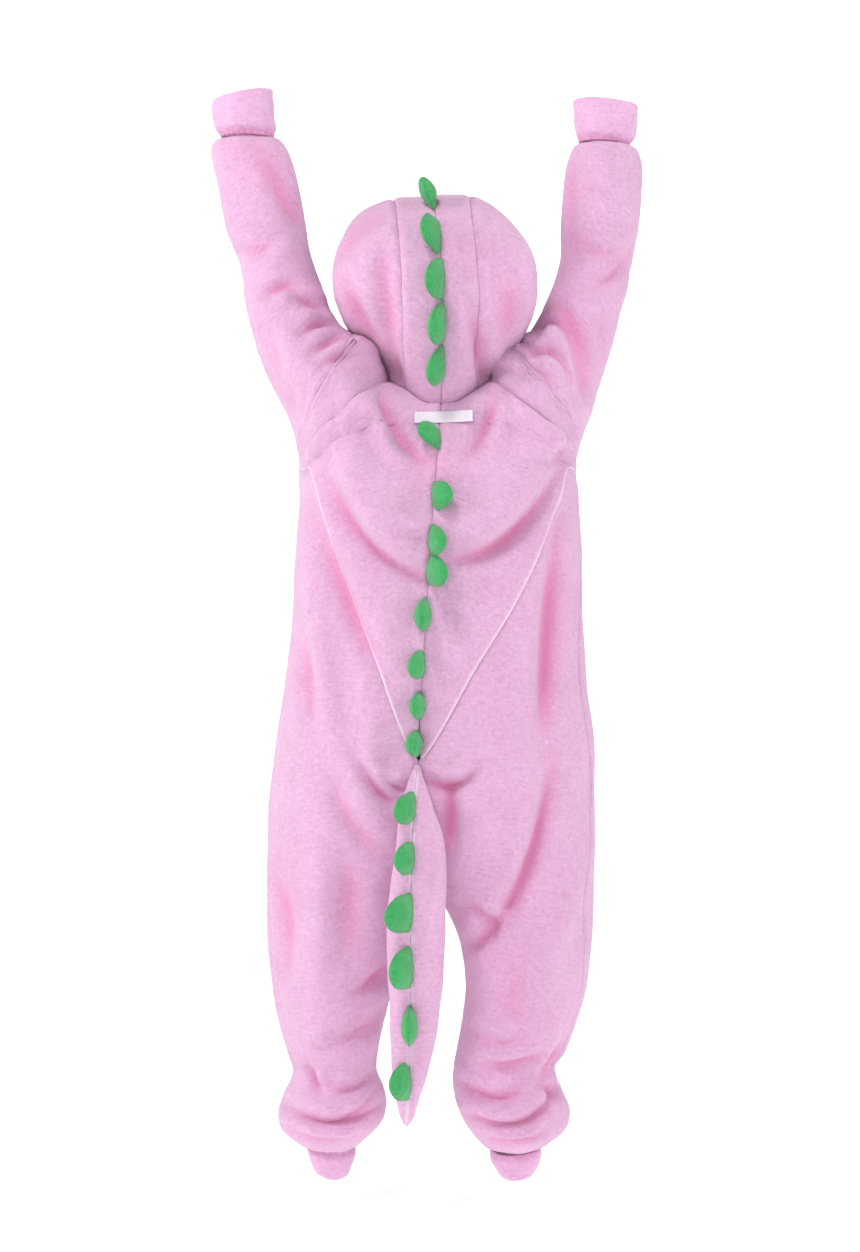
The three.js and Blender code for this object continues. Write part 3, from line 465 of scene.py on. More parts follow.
def fold_height(point, normal, folds):
    """The cloth's height out of its plain surface. For each fold the nearest place on its curve gives a
    signed distance d, and the height is gain height exp(-(d/reach)^2) plus lip exp(-((d - 1.9 reach) / 1.3
    reach)^2). Both fade towards the curve's ends, and towards the side of the garment that the fold isn't
    on."""
    total = np.zeros(point.shape[:-1])
    s = np.linspace(0, 1, CURVE_SAMPLES)
    for facing, x1, z1, x2, z2, x3, z3, reach, height, lip in folds:
        cx, cz = 2 * x2 - (x1 + x3) / 2, 2 * z2 - (z1 + z3) / 2
        curve_x = (1 - s) ** 2 * x1 + 2 * s * (1 - s) * cx + s * s * x3
        curve_z = (1 - s) ** 2 * z1 + 2 * s * (1 - s) * cz + s * s * z3
        far = 4 * reach
        near = (
            (point[..., 0] > curve_x.min() - far) & (point[..., 0] < curve_x.max() + far)
            & (point[..., 2] > curve_z.min() - far) & (point[..., 2] < curve_z.max() + far)
        )
        if not near.any():
            continue
        way_x, way_z = np.diff(curve_x), np.diff(curve_z)
        from_x = point[near][:, 0, None] - curve_x[:-1]
        from_z = point[near][:, 2, None] - curve_z[:-1]
        part = ((from_x * way_x + from_z * way_z) / (way_x ** 2 + way_z ** 2)).clip(0, 1)
        away_x, away_z = from_x - part * way_x, from_z - part * way_z
        best = np.argmin(away_x ** 2 + away_z ** 2, axis=1)
        rows = np.arange(len(best))
        # "left" is as seen by someone who looks at that side of the garment, so it turns with facing
        side = np.sign(way_z[best] * away_x[rows, best] - way_x[best] * away_z[rows, best]) * facing
        d = np.hypot(away_x[rows, best], away_z[rows, best]) * side
        along = (best + part[rows, best]) / (CURVE_SAMPLES - 1)
        taper = np.sin(np.pi * mix(0.1, 0.9, along))
        round_form = FOLD_GAIN * height * np.exp(-((d / reach) ** 2))
        past_lip = (d * np.sign(lip or 1) - LIP_PLACE * reach) / (LIP_REACH * reach)
        lip_form = abs(lip) * np.exp(-(past_lip ** 2))
        total[near] += (round_form + lip_form) * taper * step(-0.1, 0.4, facing * normal[near][:, 1])
    return total


print("folds on the body:", len(FOLDS), "on the hood:", len(HOOD_FOLDS))

# %% [markdown]
# Between the folds the cloth is never quite smooth. A sum of slow waves in many directions gives a gentle
# unevenness. It depends only on the place in space, so it runs on over a seam without a step.

# %% Soft unevenness


def make_waves(seed, count, shortest, longest, upright):
    """Random waves: wave vectors whose lengths lie between the shortest and longest wavelength in
    millimetres, with the upright part scaled, and their phases and heights."""
    rng = np.random.default_rng(seed)
    length = rng.uniform(shortest, longest, count)
    way = unit(rng.normal(size=(count, 3))) * [1, 1, upright]
    return way * (2 * np.pi / length)[:, None], rng.uniform(0, 2 * np.pi, count), length / longest


def unevenness(point, waves):
    """The sum of the waves at a point, each sin(k . p + phase) times its height, over the root of their
    number."""
    k, phase, height = waves
    return (np.sin(point @ k.T + phase) * height).sum(-1) / np.sqrt(len(phase))


SLOW_WAVES = make_waves(3, 14, 90, 190, 0.55)
SMALL_WAVES = make_waves(8, 24, 24, 60, 0.7)
PUCKER_WAVES = make_waves(21, 20, 9, 18, 1.0)


SLOW_DEPTH, SMALL_DEPTH = 2.4, 0.7  # millimetres, of the slow and the small waves


def drape(point, normal, folds):
    """All of the cloth's height out of its plain surface: folds, slow waves of 2.4 mm and small waves of 0.7
    mm."""
    slow = SLOW_DEPTH * unevenness(point, SLOW_WAVES)
    return fold_height(point, normal, folds) + slow + SMALL_DEPTH * unevenness(point, SMALL_WAVES)


print("waves:", len(SLOW_WAVES[1]) + len(SMALL_WAVES[1]))

# %% [markdown]
# ## From a grid of points to a piece of cloth
# Each piece of cloth is a grid of points on its middle surface. The shell gets an outer and an inner face,
# a wall's thickness apart, and a rim. Near an edge the grid has extra rows and the wall gets thinner, so
# the rim is round. At a seam the cloth is pulled in and puckers a little, which is what makes a seam look
# sewn.

# %% Grid helpers
WALL = 2.6
EDGE_ROWS = np.array([0, 0.25, 0.7, 1.3])  # millimetres from an edge, for the extra rows
SPACING = 3.4  # millimetres between the rows of a grid


def shares(length, spacing=SPACING, round_start=True, round_end=True):
    """Shares of a length from 0 to 1, evenly spaced, with the extra rows at the ends that are an edge."""
    count = max(4, int(round(length / spacing)))
    inner = np.linspace(0, 1, count + 1)
    start = EDGE_ROWS / length if round_start else inner[:1]
    end = 1 - EDGE_ROWS[::-1] / length if round_end else inner[-1:]
    middle = inner[(inner > start[-1] + 0.4 / count) & (inner < end[0] - 0.4 / count)]
    return np.concatenate([start, middle, end])


def run(grid, axis):
    """Length along a grid from its first row or column to each point."""
    gaps = np.linalg.norm(np.diff(grid, axis=axis), axis=-1)
    return np.insert(np.cumsum(gaps, axis=axis), 0, 0, axis=axis)


def grid_normal(grid, wrap, turn):
    """Normals of a grid by the cross product of its slopes, with the columns joined round if it wraps."""
    along_rows = np.gradient(grid, axis=0)
    if wrap:
        along_columns = np.roll(grid, -1, 1) - np.roll(grid, 1, 1)
    else:
        along_columns = np.gradient(grid, axis=1)
    return unit(np.cross(along_columns, along_rows)) * turn


def edge_distance(grid, wrap, edges):
    """Distance in millimetres from each point to the nearest of the named edges (start, end, low, high),
    where start and end are the first and last row, and low and high the first and last column."""
    down = run(grid, 0)
    across = run(grid, 1)
    choices = {"start": down, "end": down[-1:] - down, "low": across, "high": across[:, -1:] - across}
    picked = [choices[name] for name in edges if not (wrap and name in ("low", "high"))]
    return np.minimum.reduce(picked) if picked else np.full(grid.shape[:2], 1e3)


# %% Seams
SEAM_DIP, SEAM_DIP_REACH = 1.9, 2.3
SEAM_SWELL, SEAM_SWELL_PLACE, SEAM_SWELL_REACH = 0.9, 7.0, 5.0
PUCKER_HEIGHT, PUCKER_REACH = 0.45, 9.0


def seam_height(point, distance):
    """Height near a seam: a dip -1.9 exp(-(d/2.3)^2), a swell 0.9 exp(-((d - 7)/5)^2) beside it, and puckers
    that die away over 9 mm."""
    dip = -SEAM_DIP * np.exp(-((distance / SEAM_DIP_REACH) ** 2))
    swell = SEAM_SWELL * np.exp(-(((distance - SEAM_SWELL_PLACE) / SEAM_SWELL_REACH) ** 2))
    return dip + swell + PUCKER_HEIGHT * unevenness(point, PUCKER_WAVES) * np.exp(-distance / PUCKER_REACH)


def rim_share(distance, wall):
    """The wall's share of its thickness near an edge: a quarter circle, sqrt(1 - (1 - d / half wall)^2)."""
    t = np.clip(distance / (wall / 2), 0.02, 1)
    return np.sqrt(1 - (1 - t) ** 2)


# %% Making the mesh
made = {}


def new_piece(name, vertices, quads, uv=None, attributes=None, smooth=True):
    """Makes a mesh object from vertices in millimetres and an array of quads or a list of faces. Its faces
    are turned outwards if their signed volume, the sum of a . (b x c) over the triangles, is below zero."""
    vertices = np.asarray(vertices, float).reshape(-1, 3)
    faces = np.asarray(quads)
    a, b, c = (vertices[faces[:, k]] for k in range(3))
    volume = np.einsum("ij,ij->", a, np.cross(b, c))
    if faces.shape[1] == 4:
        d = vertices[faces[:, 3]]
        volume += np.einsum("ij,ij->", a, np.cross(c, d))
    if volume < 0:
        faces = faces[:, ::-1]
        uv = None if uv is None else uv[:, ::-1]
    mesh = bpy.data.meshes.new(name)
    mesh.vertices.add(len(vertices))
    mesh.vertices.foreach_set("co", (vertices * MM).astype(np.float32).ravel())
    mesh.loops.add(faces.size)
    mesh.loops.foreach_set("vertex_index", faces.ravel().astype(np.int32))
    mesh.polygons.add(len(faces))
    mesh.polygons.foreach_set("loop_start", np.arange(0, faces.size, faces.shape[1], dtype=np.int32))
    mesh.polygons.foreach_set("use_smooth", np.full(len(faces), smooth))
    mesh.update(calc_edges=True)
    if uv is not None:
        layer = mesh.uv_layers.new(name="cloth")
        layer.uv.foreach_set("vector", (uv * MM).astype(np.float32).ravel())
    for key, values in (attributes or {}).items():
        mesh.attributes.new(key, "FLOAT", "POINT").data.foreach_set("value",
                                                                    values.astype(np.float32).ravel())
    mesh.validate()
    piece = bpy.data.objects.new(name + "_sewn", mesh)
    bpy.context.collection.objects.link(piece)
    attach(piece, BODY)
    made[name] = piece
    return piece


def cloth(name, grid, outwards, wall=WALL, wrap=False, edges=("start", "end", "low", "high"), seams=(),
          painted_shade=None, seam_highlight=0.3):
    """A closed shell round a grid of points on the cloth's middle. The outer and inner face stand half a wall
    to each side along the grid's normal, on the side that outwards says, and quads close the rims. seams says
    which edges are sewn."""
    rows, columns = grid.shape[:2]
    rim = edge_distance(grid, wrap, edges)
    sewn = edge_distance(grid, wrap, seams)
    normal = grid_normal(grid, wrap, 1)
    normal = normal * np.sign((normal * outwards).sum())
    half = (wall / 2 * rim_share(rim, wall))[..., None] * normal
    vertices = np.stack([grid + half, grid - half]).reshape(-1, 3)
    u = run(grid, 1).mean(0)
    if wrap:
        u = np.append(u, u[-1] * columns / (columns - 1))
    v = run(grid, 0).mean(1)
    r, c = np.meshgrid(np.arange(rows - 1), np.arange(columns if wrap else columns - 1), indexing="ij")
    r, c = r.ravel(), c.ravel()
    corners = [(r, c), (r + 1, c), (r + 1, c + 1), (r, c + 1)]
    total = rows * columns
    outer = np.stack([i * columns + j % columns for i, j in corners], 1)
    uv_outer = np.stack([np.stack([u[j], v[i]], -1) for i, j in corners], 1)
    faces = [outer, outer[:, ::-1] + total]
    uvs = [uv_outer, uv_outer[:, ::-1]]

    def rim_strip(ids, uv_ids):
        strip = np.stack([ids[1:], ids[:-1], ids[:-1] + total, ids[1:] + total], 1)
        faces.append(strip)
        uvs.append(np.stack([uv_ids[1:], uv_ids[:-1], uv_ids[:-1], uv_ids[1:]], 1))

    line = np.arange(columns + 1) % columns if wrap else np.arange(columns)
    rim_strip(line[::-1], np.stack([u[: len(line)], np.full(len(line), v[0])], -1)[::-1])
    rim_strip((rows - 1) * columns + line, np.stack([u[: len(line)], np.full(len(line), v[-1])], -1))
    if not wrap:
        side = np.arange(rows) * columns
        rim_strip(side, np.stack([np.full(rows, u[0]), v], -1))
        rim_strip((side + columns - 1)[::-1], np.stack([np.full(rows, u[-1]), v], -1)[::-1])
    # painted highlight: the outer face is coloured paler along the sewn edges
    seam_value = np.exp(-((sewn / 3.0) ** 2)) * seam_highlight
    # painted shade in the troughs goes on the outer face only
    attributes = {
        "seam": np.stack([seam_value, seam_value]),
        "painted_shade": np.stack([painted_shade, painted_shade * 0]) if painted_shade is not None else np.zeros((2, rows, columns)),
    }
    return new_piece(name, vertices, np.concatenate(faces), np.concatenate(uvs), attributes)


# painted shade: the colour is darkened in the troughs of the folds, where shade falls
PAINTED_SHADE_MOST, PAINTED_SHADE_DEPTH, PAINTED_SHADE_BEND = 0.6, 13, 1.3


def painted_shade_share(height):
    """How much shade is painted into the colour at a point, from 0 on the plain cloth to 0.6 in a trough of
    13 mm, by the fold's depth there to the power 1.3."""
    return PAINTED_SHADE_MOST * np.clip(-height / PAINTED_SHADE_DEPTH, 0, 1) ** PAINTED_SHADE_BEND


print("rows of a grid stand", SPACING, "mm apart")

# %% [markdown]
# ## Fleece
# Fleece is a knitted polyester whose face is brushed into a short pile. It has no gloss: it scatters light
# softly, and the pile catches light at grazing angles, so edges look white. Close up it shows a fine grain
# across the piece and small clumps. Shade is painted into the colour in the troughs of the folds, and a
# highlight is painted along the seams. Noise on Object coordinates makes the clumps, noise on the piece's
# own UV map makes the grain, and two attributes say where the painted highlight and painted shade go.

# %% Material helpers
# noise scales, in features for each metre
SCALE = {"fine": 560.0, "clump": 210.0, "patch": 20.0, "grain": 330.0}


def add_node(tree, kind, settings=None, inputs=None):
    """A shader node with its settings and the values of its unlinked inputs."""
    node = tree.nodes.new(kind)
    for key, value in (settings or {}).items():
        setattr(node, key, value)
    for key, value in (inputs or {}).items():
        node.inputs[key].default_value = value
    return node


def noise(tree, vector, scale, detail=3.0, rough=0.6):
    """Noise of a scale on a vector."""
    node = add_node(tree, "ShaderNodeTexNoise", None, {"Scale": scale, "Detail": detail, "Roughness": rough})
    tree.links.new(vector, node.inputs["Vector"])
    return node.outputs["Fac"]


def ranged(tree, value, low, high, to_low=0.0, to_high=1.0):
    """A value moved from one range to another."""
    node = add_node(tree, "ShaderNodeMapRange", None,
                    {"From Min": low, "From Max": high, "To Min": to_low, "To Max": to_high})
    tree.links.new(value, node.inputs["Value"])
    return node.outputs["Result"]


def mixed(tree, share, first, second, blend="MIX"):
    """Two colours mixed by a share. Each may be a colour or an output."""
    node = add_node(tree, "ShaderNodeMix", {"data_type": "RGBA", "blend_type": blend})
    for socket, value in ((node.inputs[0], share), (node.inputs[6], first), (node.inputs[7], second)):
        if isinstance(value, bpy.types.NodeSocket):
            tree.links.new(value, socket)
        else:
            socket.default_value = value
    return node.outputs[2]


def summed(tree, *terms):
    """The sum of outputs, each times a number."""
    total = None
    for value, factor in terms:
        node = add_node(tree, "ShaderNodeMath", {"operation": "MULTIPLY_ADD"})
        tree.links.new(value, node.inputs[0])
        node.inputs[1].default_value = factor
        if total is None:
            node.inputs[2].default_value = 0.0
        else:
            tree.links.new(total, node.inputs[2])
        total = node.outputs[0]
    return total


def attribute(tree, name):
    """The value of a mesh attribute."""
    return add_node(tree, "ShaderNodeAttribute", {"attribute_name": name}).outputs["Fac"]


def linear(red, green, blue):
    """A display colour, 0 to 255, as linear light: ((c + 0.055) / 1.055)^2.4."""
    return tuple(((c / 255 + 0.055) / 1.055) ** 2.4 for c in (red, green, blue)) + (1.0,)


# %% Fleece material


def fleece(name, body, bright, painted_shade_colour, seam_highlight, sheen=0.5):
    """Brushed fleece: body and bright mix by clumps and patches, the third colour is painted shade in the
    troughs of the folds, and the fourth a painted highlight along the seams."""
    material = bpy.data.materials.new(name)
    material.use_nodes = True
    tree = material.node_tree
    shader = tree.nodes["Principled BSDF"]
    place = add_node(tree, "ShaderNodeTexCoord").outputs["Object"]
    flat = add_node(tree, "ShaderNodeUVMap", {"uv_map": "cloth"}).outputs["UV"]
    along = add_node(tree, "ShaderNodeMapping", None, {"Scale": (0.3, 1.0, 1.0)})
    tree.links.new(flat, along.inputs["Vector"])
    fine = noise(tree, place, SCALE["fine"], 3.0, 0.7)
    clump = noise(tree, place, SCALE["clump"], 4.0, 0.65)
    patch = noise(tree, place, SCALE["patch"], 3.0, 0.5)
    grain = noise(tree, along.outputs["Vector"], SCALE["grain"], 3.0, 0.6)
    lit = summed(tree, (ranged(tree, clump, 0.35, 0.65), 0.35), (ranged(tree, grain, 0.35, 0.65), 0.3),
                 (ranged(tree, patch, 0.35, 0.65), 0.15), (ranged(tree, fine, 0.35, 0.65), 0.2))
    colour = mixed(tree, lit, body, bright)
    # painted shade: the troughs of the folds are coloured darker
    colour = mixed(tree, attribute(tree, "painted_shade"), colour, painted_shade_colour)
    # painted highlight: the colour turns paler along the seams
    colour = mixed(tree, ranged(tree, attribute(tree, "seam"), 0.1, 1.0, 0.0, 0.75), colour, seam_highlight)
    tree.links.new(colour, shader.inputs["Base Color"])
    bump = add_node(tree, "ShaderNodeBump", None, {"Strength": 0.9, "Distance": 0.0022})
    tree.links.new(summed(tree, (fine, 0.5), (clump, 0.7), (grain, 0.6)), bump.inputs["Height"])
    tree.links.new(bump.outputs["Normal"], shader.inputs["Normal"])
    shader.inputs["Roughness"].default_value = 0.95
    shader.inputs["Specular IOR Level"].default_value = 0.15
    shader.inputs["Sheen Weight"].default_value = sheen
    shader.inputs["Sheen Roughness"].default_value = 0.6
    shader.inputs["Sheen Tint"].default_value = (1.0, 0.9, 0.97, 1.0)
    return material


PINK = fleece("pink_fleece", linear(205, 148, 188), linear(238, 191, 227), linear(228, 116, 168),
              linear(252, 232, 246))
# a copy of the same pink fleece, painted lighter against the shade that falls on the cuffs
CUFF_PINK_PAINTED_LIGHTER = fleece("pink_fleece_cuff_painted_lighter", linear(216, 156, 198), linear(242, 194, 231), linear(230, 122, 174),
                   linear(252, 232, 246))
GREEN = fleece("green_fleece", linear(34, 146, 74), linear(76, 186, 108), linear(16, 92, 44),
               linear(110, 204, 138), sheen=0.3)
print("materials:", len(bpy.data.materials))

# %% Plain cloth, thread and buttons


def woven(name, colour, shade, scale, bump_distance):
    """A smooth woven cloth or thread: two sets of waves across each other, with a little noise in the
    colour."""
    material = bpy.data.materials.new(name)
    material.use_nodes = True
    tree = material.node_tree
    shader = tree.nodes["Principled BSDF"]
    place = add_node(tree, "ShaderNodeTexCoord").outputs["Object"]
    waves = []
    for direction in ("X", "Z"):
        wave = add_node(tree, "ShaderNodeTexWave", {"bands_direction": direction},
                        {"Scale": scale, "Distortion": 1.5})
        tree.links.new(place, wave.inputs["Vector"])
        waves.append((wave.outputs["Fac"], 0.5))
    patch = noise(tree, place, 90.0)
    tree.links.new(mixed(tree, summed(tree, *waves, (patch, 0.3)), shade, colour),
                   shader.inputs["Base Color"])
    bump = add_node(tree, "ShaderNodeBump", None, {"Strength": 0.4, "Distance": bump_distance})
    tree.links.new(summed(tree, *waves), bump.inputs["Height"])
    tree.links.new(bump.outputs["Normal"], shader.inputs["Normal"])
    shader.inputs["Roughness"].default_value = 0.7
    shader.inputs["Sheen Weight"].default_value = 0.15
    return material


def moulded(name, colour, worn):
    """A button's moulded plastic: a faint cloud in the colour, fine scratches in the gloss and a soft
    shine."""
    material = bpy.data.materials.new(name)
    material.use_nodes = True
    tree = material.node_tree
    shader = tree.nodes["Principled BSDF"]
    place = add_node(tree, "ShaderNodeTexCoord").outputs["Object"]
    cloud = noise(tree, place, 160.0)
    tree.links.new(mixed(tree, ranged(tree, cloud, 0.35, 0.65), colour, worn), shader.inputs["Base Color"])
    scratch = noise(tree, place, 900.0, 5.0, 0.7)
    tree.links.new(ranged(tree, scratch, 0.3, 0.7, 0.22, 0.42), shader.inputs["Roughness"])
    bump = add_node(tree, "ShaderNodeBump", None, {"Strength": 0.12, "Distance": 0.0003})
    tree.links.new(scratch, bump.inputs["Height"])
    tree.links.new(bump.outputs["Normal"], shader.inputs["Normal"])
    return material


LABEL_WHITE = woven("white_label_satin", linear(244, 238, 246), linear(222, 212, 228), 900.0, 0.0003)
THREAD_PINK = woven("pink_thread", linear(232, 176, 212), linear(214, 146, 190), 1400.0, 0.0002)
BUTTON_PINK = moulded("pink_button", linear(236, 164, 208), linear(244, 186, 220))
print("materials:", [m.name for m in bpy.data.materials])

# %% [markdown]
# ## Fronts, backs and yokes
# The yoke covers the shoulder blades and runs down to a point at the root of the tail. Its slanting edge
# laps over the back and stands a little proud, and a highlight is painted along it, which makes it the
# clearest line on the garment. The back goes down to the ankle in one with the leg, and so does the front.
# All of them are parts of the one body surface, between two lines.

# %% Where the seams run
# station and phi of the yoke's slanting edge
YOKE_EDGE = [[10, 0.5], [12, 0.56], [14, 0.64], [15, 0.71], [16, 0.77], [17, 0.84], [18, 0.905],
             [TAIL_ROOT, 1]]
# station and phi of the side seam
SIDE_SEAM = {
    1: [[10, 0.5], [15.3, 0.5], [17, 0.52], [18.5, 0.53], [22, 0.535], [24, 0.545], [26, 0.56], [28, 0.55],
        [31, 0.53], [34, 0.5]],
    -1: [[10, 0.5], [13, 0.512], [15, 0.53], [16.5, 0.575], [17.5, 0.59], [18.5, 0.6], [19.5, 0.578],
         [21, 0.59],
         [22.3, 0.6], [26, 0.58], [30, 0.54], [34, 0.5]],
}
ARMHOLE_BEND = 1.3


def armhole_station(phi):
    """The armhole's station at phi: 7.5 at the shoulder and 10 at the underarm, by (1 - |2 phi - 1|)^1.3."""
    return mix(SHOULDER, UNDERARM, (1 - np.abs(2 * phi - 1)) ** ARMHOLE_BEND)


def armhole_phi(v):
    """How far the armhole has gone round the ring from the shoulder line at a station: the other way
    about."""
    return np.clip((v - SHOULDER) / (UNDERARM - SHOULDER), 0, 1) ** (1 / ARMHOLE_BEND) / 2


def softened(table, v):
    """A seam's phi at a station, with its corners rounded: the mean of nine samples around the station."""
    spread = np.linspace(-0.45, 0.45, 9)
    low, high = table[0][0], table[-1][0]
    reach = np.minimum(1, np.minimum(v - low, high - v) / 0.5).clip(0)
    return np.mean([straight_rows(table, 1, v + s * reach) for s in spread], 0)


print("the armhole at the underarm:", float(armhole_station(np.array(0.5))))

# %% A panel of the body
YOKE_LIFT, YOKE_LIFT_REACH, YOKE_LAP = 3.3, 16.0, 3.0  # millimetres
CENTRE_REACH = 16.0
NECK_GAP, NECK_REACH = 3.0, 7.0
CHIN_X = -13


def along_stations(side, first, last, phi):
    """Stations from first to last, evenly spaced in millimetres along the line at phi."""
    v = np.linspace(first, last, 600)
    length = run(body_point(side, np.full(600, phi), v)[:, None], 0)[:, 0]
    return np.interp(shares(length[-1]) * length[-1], length, v)


def body_panel(name, side, v, low, high, sewn, lap=0.0, lift=0.0):
    """The body's cloth between two lines low and high, each a phi for every station of v. The cloth is moved
    out by its drape and seams. At a centre seam it is moved only in y and z, so the two halves still meet."""
    width = np.linalg.norm(np.diff(body_point(side, np.linspace(low, high, 40), v), axis=0), axis=-1).sum(0)
    across = shares(width.max())
    phi = mix(low[:, None], high[:, None], across)
    station = np.broadcast_to(v[:, None], phi.shape)
    point = body_point(side, phi, station)
    normal = body_normal(side, phi, station)
    across_run = run(point, 1)
    to_low, to_high = across_run, across_run[:, -1:] - across_run
    if lap:
        way = unit(point[:, :1] - point[:, 4:5])
        share = lap * step(10.2, 12.5, station) * np.exp(-to_low / 12)
        point = point + way * share[..., None]
    from_front = np.where(low[:, None] < 1e-6, to_low, 1e3)
    centre = np.minimum(from_front, np.where(high[:, None] > 1 - 1e-6, to_high, 1e3))
    trunk = step(13, 14, station) * (1 - step(CROTCH, CROTCH + 0.6, station))
    near_centre = np.exp(-((centre / CENTRE_REACH) ** 2)) * trunk
    on_neck = step(9.6, 10.2, station) * (1 - step(13.9, 14.3, station))
    near_neck = np.exp(-((centre / NECK_REACH) ** 2)) * on_neck
    folds = drape(point, normal, FOLDS)
    height = folds * (1 - near_neck)
    distance = edge_distance(point, False, sewn)
    if lift:
        free = step(10.2, 12.5, station)
        height = height + lift * free * np.exp(-((to_low / YOKE_LIFT_REACH) ** 2))
        distance = np.where(free > 0.5, to_high, distance)
    height = height + seam_height(point, distance)
    way = normal * np.stack([1 - near_centre, np.ones_like(centre), np.ones_like(centre)], -1)
    moved = point + way * height[..., None]
    outwards = unit(point * [1, 1, 0] - [CHIN_X, 0, 0])
    moved = moved + outwards * (NECK_GAP * near_neck)[..., None]
    # painted highlight along the seams, strongest along the yoke's lapped slanting edge
    rim_highlight = 0.25 if not lift else mix(0.2, 1.0, step(11, 13, station) * np.exp(-((to_low / 6) ** 2)))
    piece = cloth(name, moved, normal, seams=sewn, painted_shade=painted_shade_share(folds), seam_highlight=rim_highlight)
    piece.data.materials.append(PINK)
    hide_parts(name)
    return piece


for side, word in SIDES.items():
    v = along_stations(side, SHOULDER + 0.02, ANKLE, 0.45)
    side_phi = np.where(v < UNDERARM, armhole_phi(v), softened(SIDE_SEAM[side], np.clip(v, 10, 34)))
    body_panel(f"front_{word}", side, v, np.zeros_like(v), side_phi, ("end", "low", "high"))
    v = along_stations(side, UNDERARM + 0.08, ANKLE, 0.55)
    side_phi = softened(SIDE_SEAM[side], v)
    edge = softened(YOKE_EDGE, np.minimum(v, TAIL_ROOT))
    edge = np.where(v >= TAIL_ROOT, 1, np.maximum(edge, side_phi + 0.004))
    body_panel(f"back_{word}", side, v, side_phi, edge, ("end", "low", "high"))
    v = along_stations(side, SHOULDER + 0.02, TAIL_ROOT - 0.05, 0.98)
    edge = np.where(v < UNDERARM, 1 - armhole_phi(v), softened(YOKE_EDGE, np.clip(v, 10, TAIL_ROOT)))
    body_panel(f"yoke_{word}", side, v, edge, np.ones_like(v), ("low", "high"), lap=YOKE_LAP, lift=YOKE_LIFT)
print("panels:", {name: len(piece.data.vertices) for name, piece in made.items()})

# %% [markdown]
# ## Sleeves
# A sleeve is a tube from the armhole to the cuff, with one seam along the underarm. Its grid wraps round,
# and its last row follows the armhole.

# %% Sleeves
for side, word in SIDES.items():
    columns = 110
    phi = (np.arange(columns) / columns)[None]
    down = shares(330.0)[:, None]
    station = down * armhole_station(phi)
    point = body_point(side, phi, station)
    normal = body_normal(side, np.broadcast_to(phi, station.shape), station)
    folds = drape(point, normal, FOLDS)
    rings = np.linalg.norm(np.roll(point, -1, 1) - point, axis=-1).sum(1, keepdims=True)
    underarm = np.abs(phi - 0.5) * rings
    distance = np.minimum(edge_distance(point, True, ("start", "end")), underarm + 0.6)
    height = folds + seam_height(point, distance)
    piece = cloth(f"sleeve_{word}", point + normal * height[..., None], normal, wrap=True,
                  edges=("start", "end"),
                  seams=("start", "end"), painted_shade=painted_shade_share(folds))
    piece.data.materials.append(PINK)
    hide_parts(f"sleeve_{word}")
    print(piece.name, len(piece.data.vertices), "vertices")

# %% [markdown]
# ## Cuffs
# A cuff is a band of the same fleece folded double, so its free rim is a round fold with no stitching. The
# sleeve or leg is wider than the cuff and is gathered into it, so the band has small upright gathers near
# its seam.

# %% Cuffs
# three rings each, from the leg or sleeve to the free rim:
# side x, side z, ends x, ends z, half depth, middle y, pitch
CUFFS = {
    "wrist_cuff_left": [[254, 331.5, 187, 330.5, 31, -20, 0], [259, 350, 189, 350, 33, -20, 0],
                        [261, 374, 191, 388, 33, -21, 0]],
    "wrist_cuff_right": [[-242, 320.5, -178, 325.5, 31, -20, 0], [-248, 345, -176, 345, 33, -20, 0],
                         [-250, 368, -176, 376, 33, -21, 0]],
    "ankle_cuff_left": [[148, -878.5, 90, -880.5, 35, 6, -0.1], [142, -892, 92, -894, 33, 7, -0.16],
                        [137, -903, 98, -908, 31, 8, -0.24]],
    "ankle_cuff_right": [[-132, -882.5, -70, -884.5, 35, 6, -0.1], [-129, -896, -76, -897, 33, 7, -0.16],
                         [-124, -905, -84, -909, 31, 8, -0.24]],
}
CUFF_WALL = 4.4
CUFF_TUCK = 7.0  # how far the band runs up inside the sleeve or leg
GATHERS = 26


def cuff_point(table, phi, place):
    """A closed ring: x and z go from the ends to the side by (1 - cos(2 pi phi)) / 2, depth is half sin(2 pi
    phi)."""
    columns = (smooth_rows(np.array(table)[:, k], place) for k in range(7))
    x_side, z_side, x_end, z_end, half, middle, pitch = columns
    across = (1 - np.cos(2 * np.pi * phi)) / 2
    y = middle - half * np.sin(2 * np.pi * phi)
    return np.stack([mix(x_end, x_side, across), y, mix(z_end, z_side, across) + pitch * y], -1)


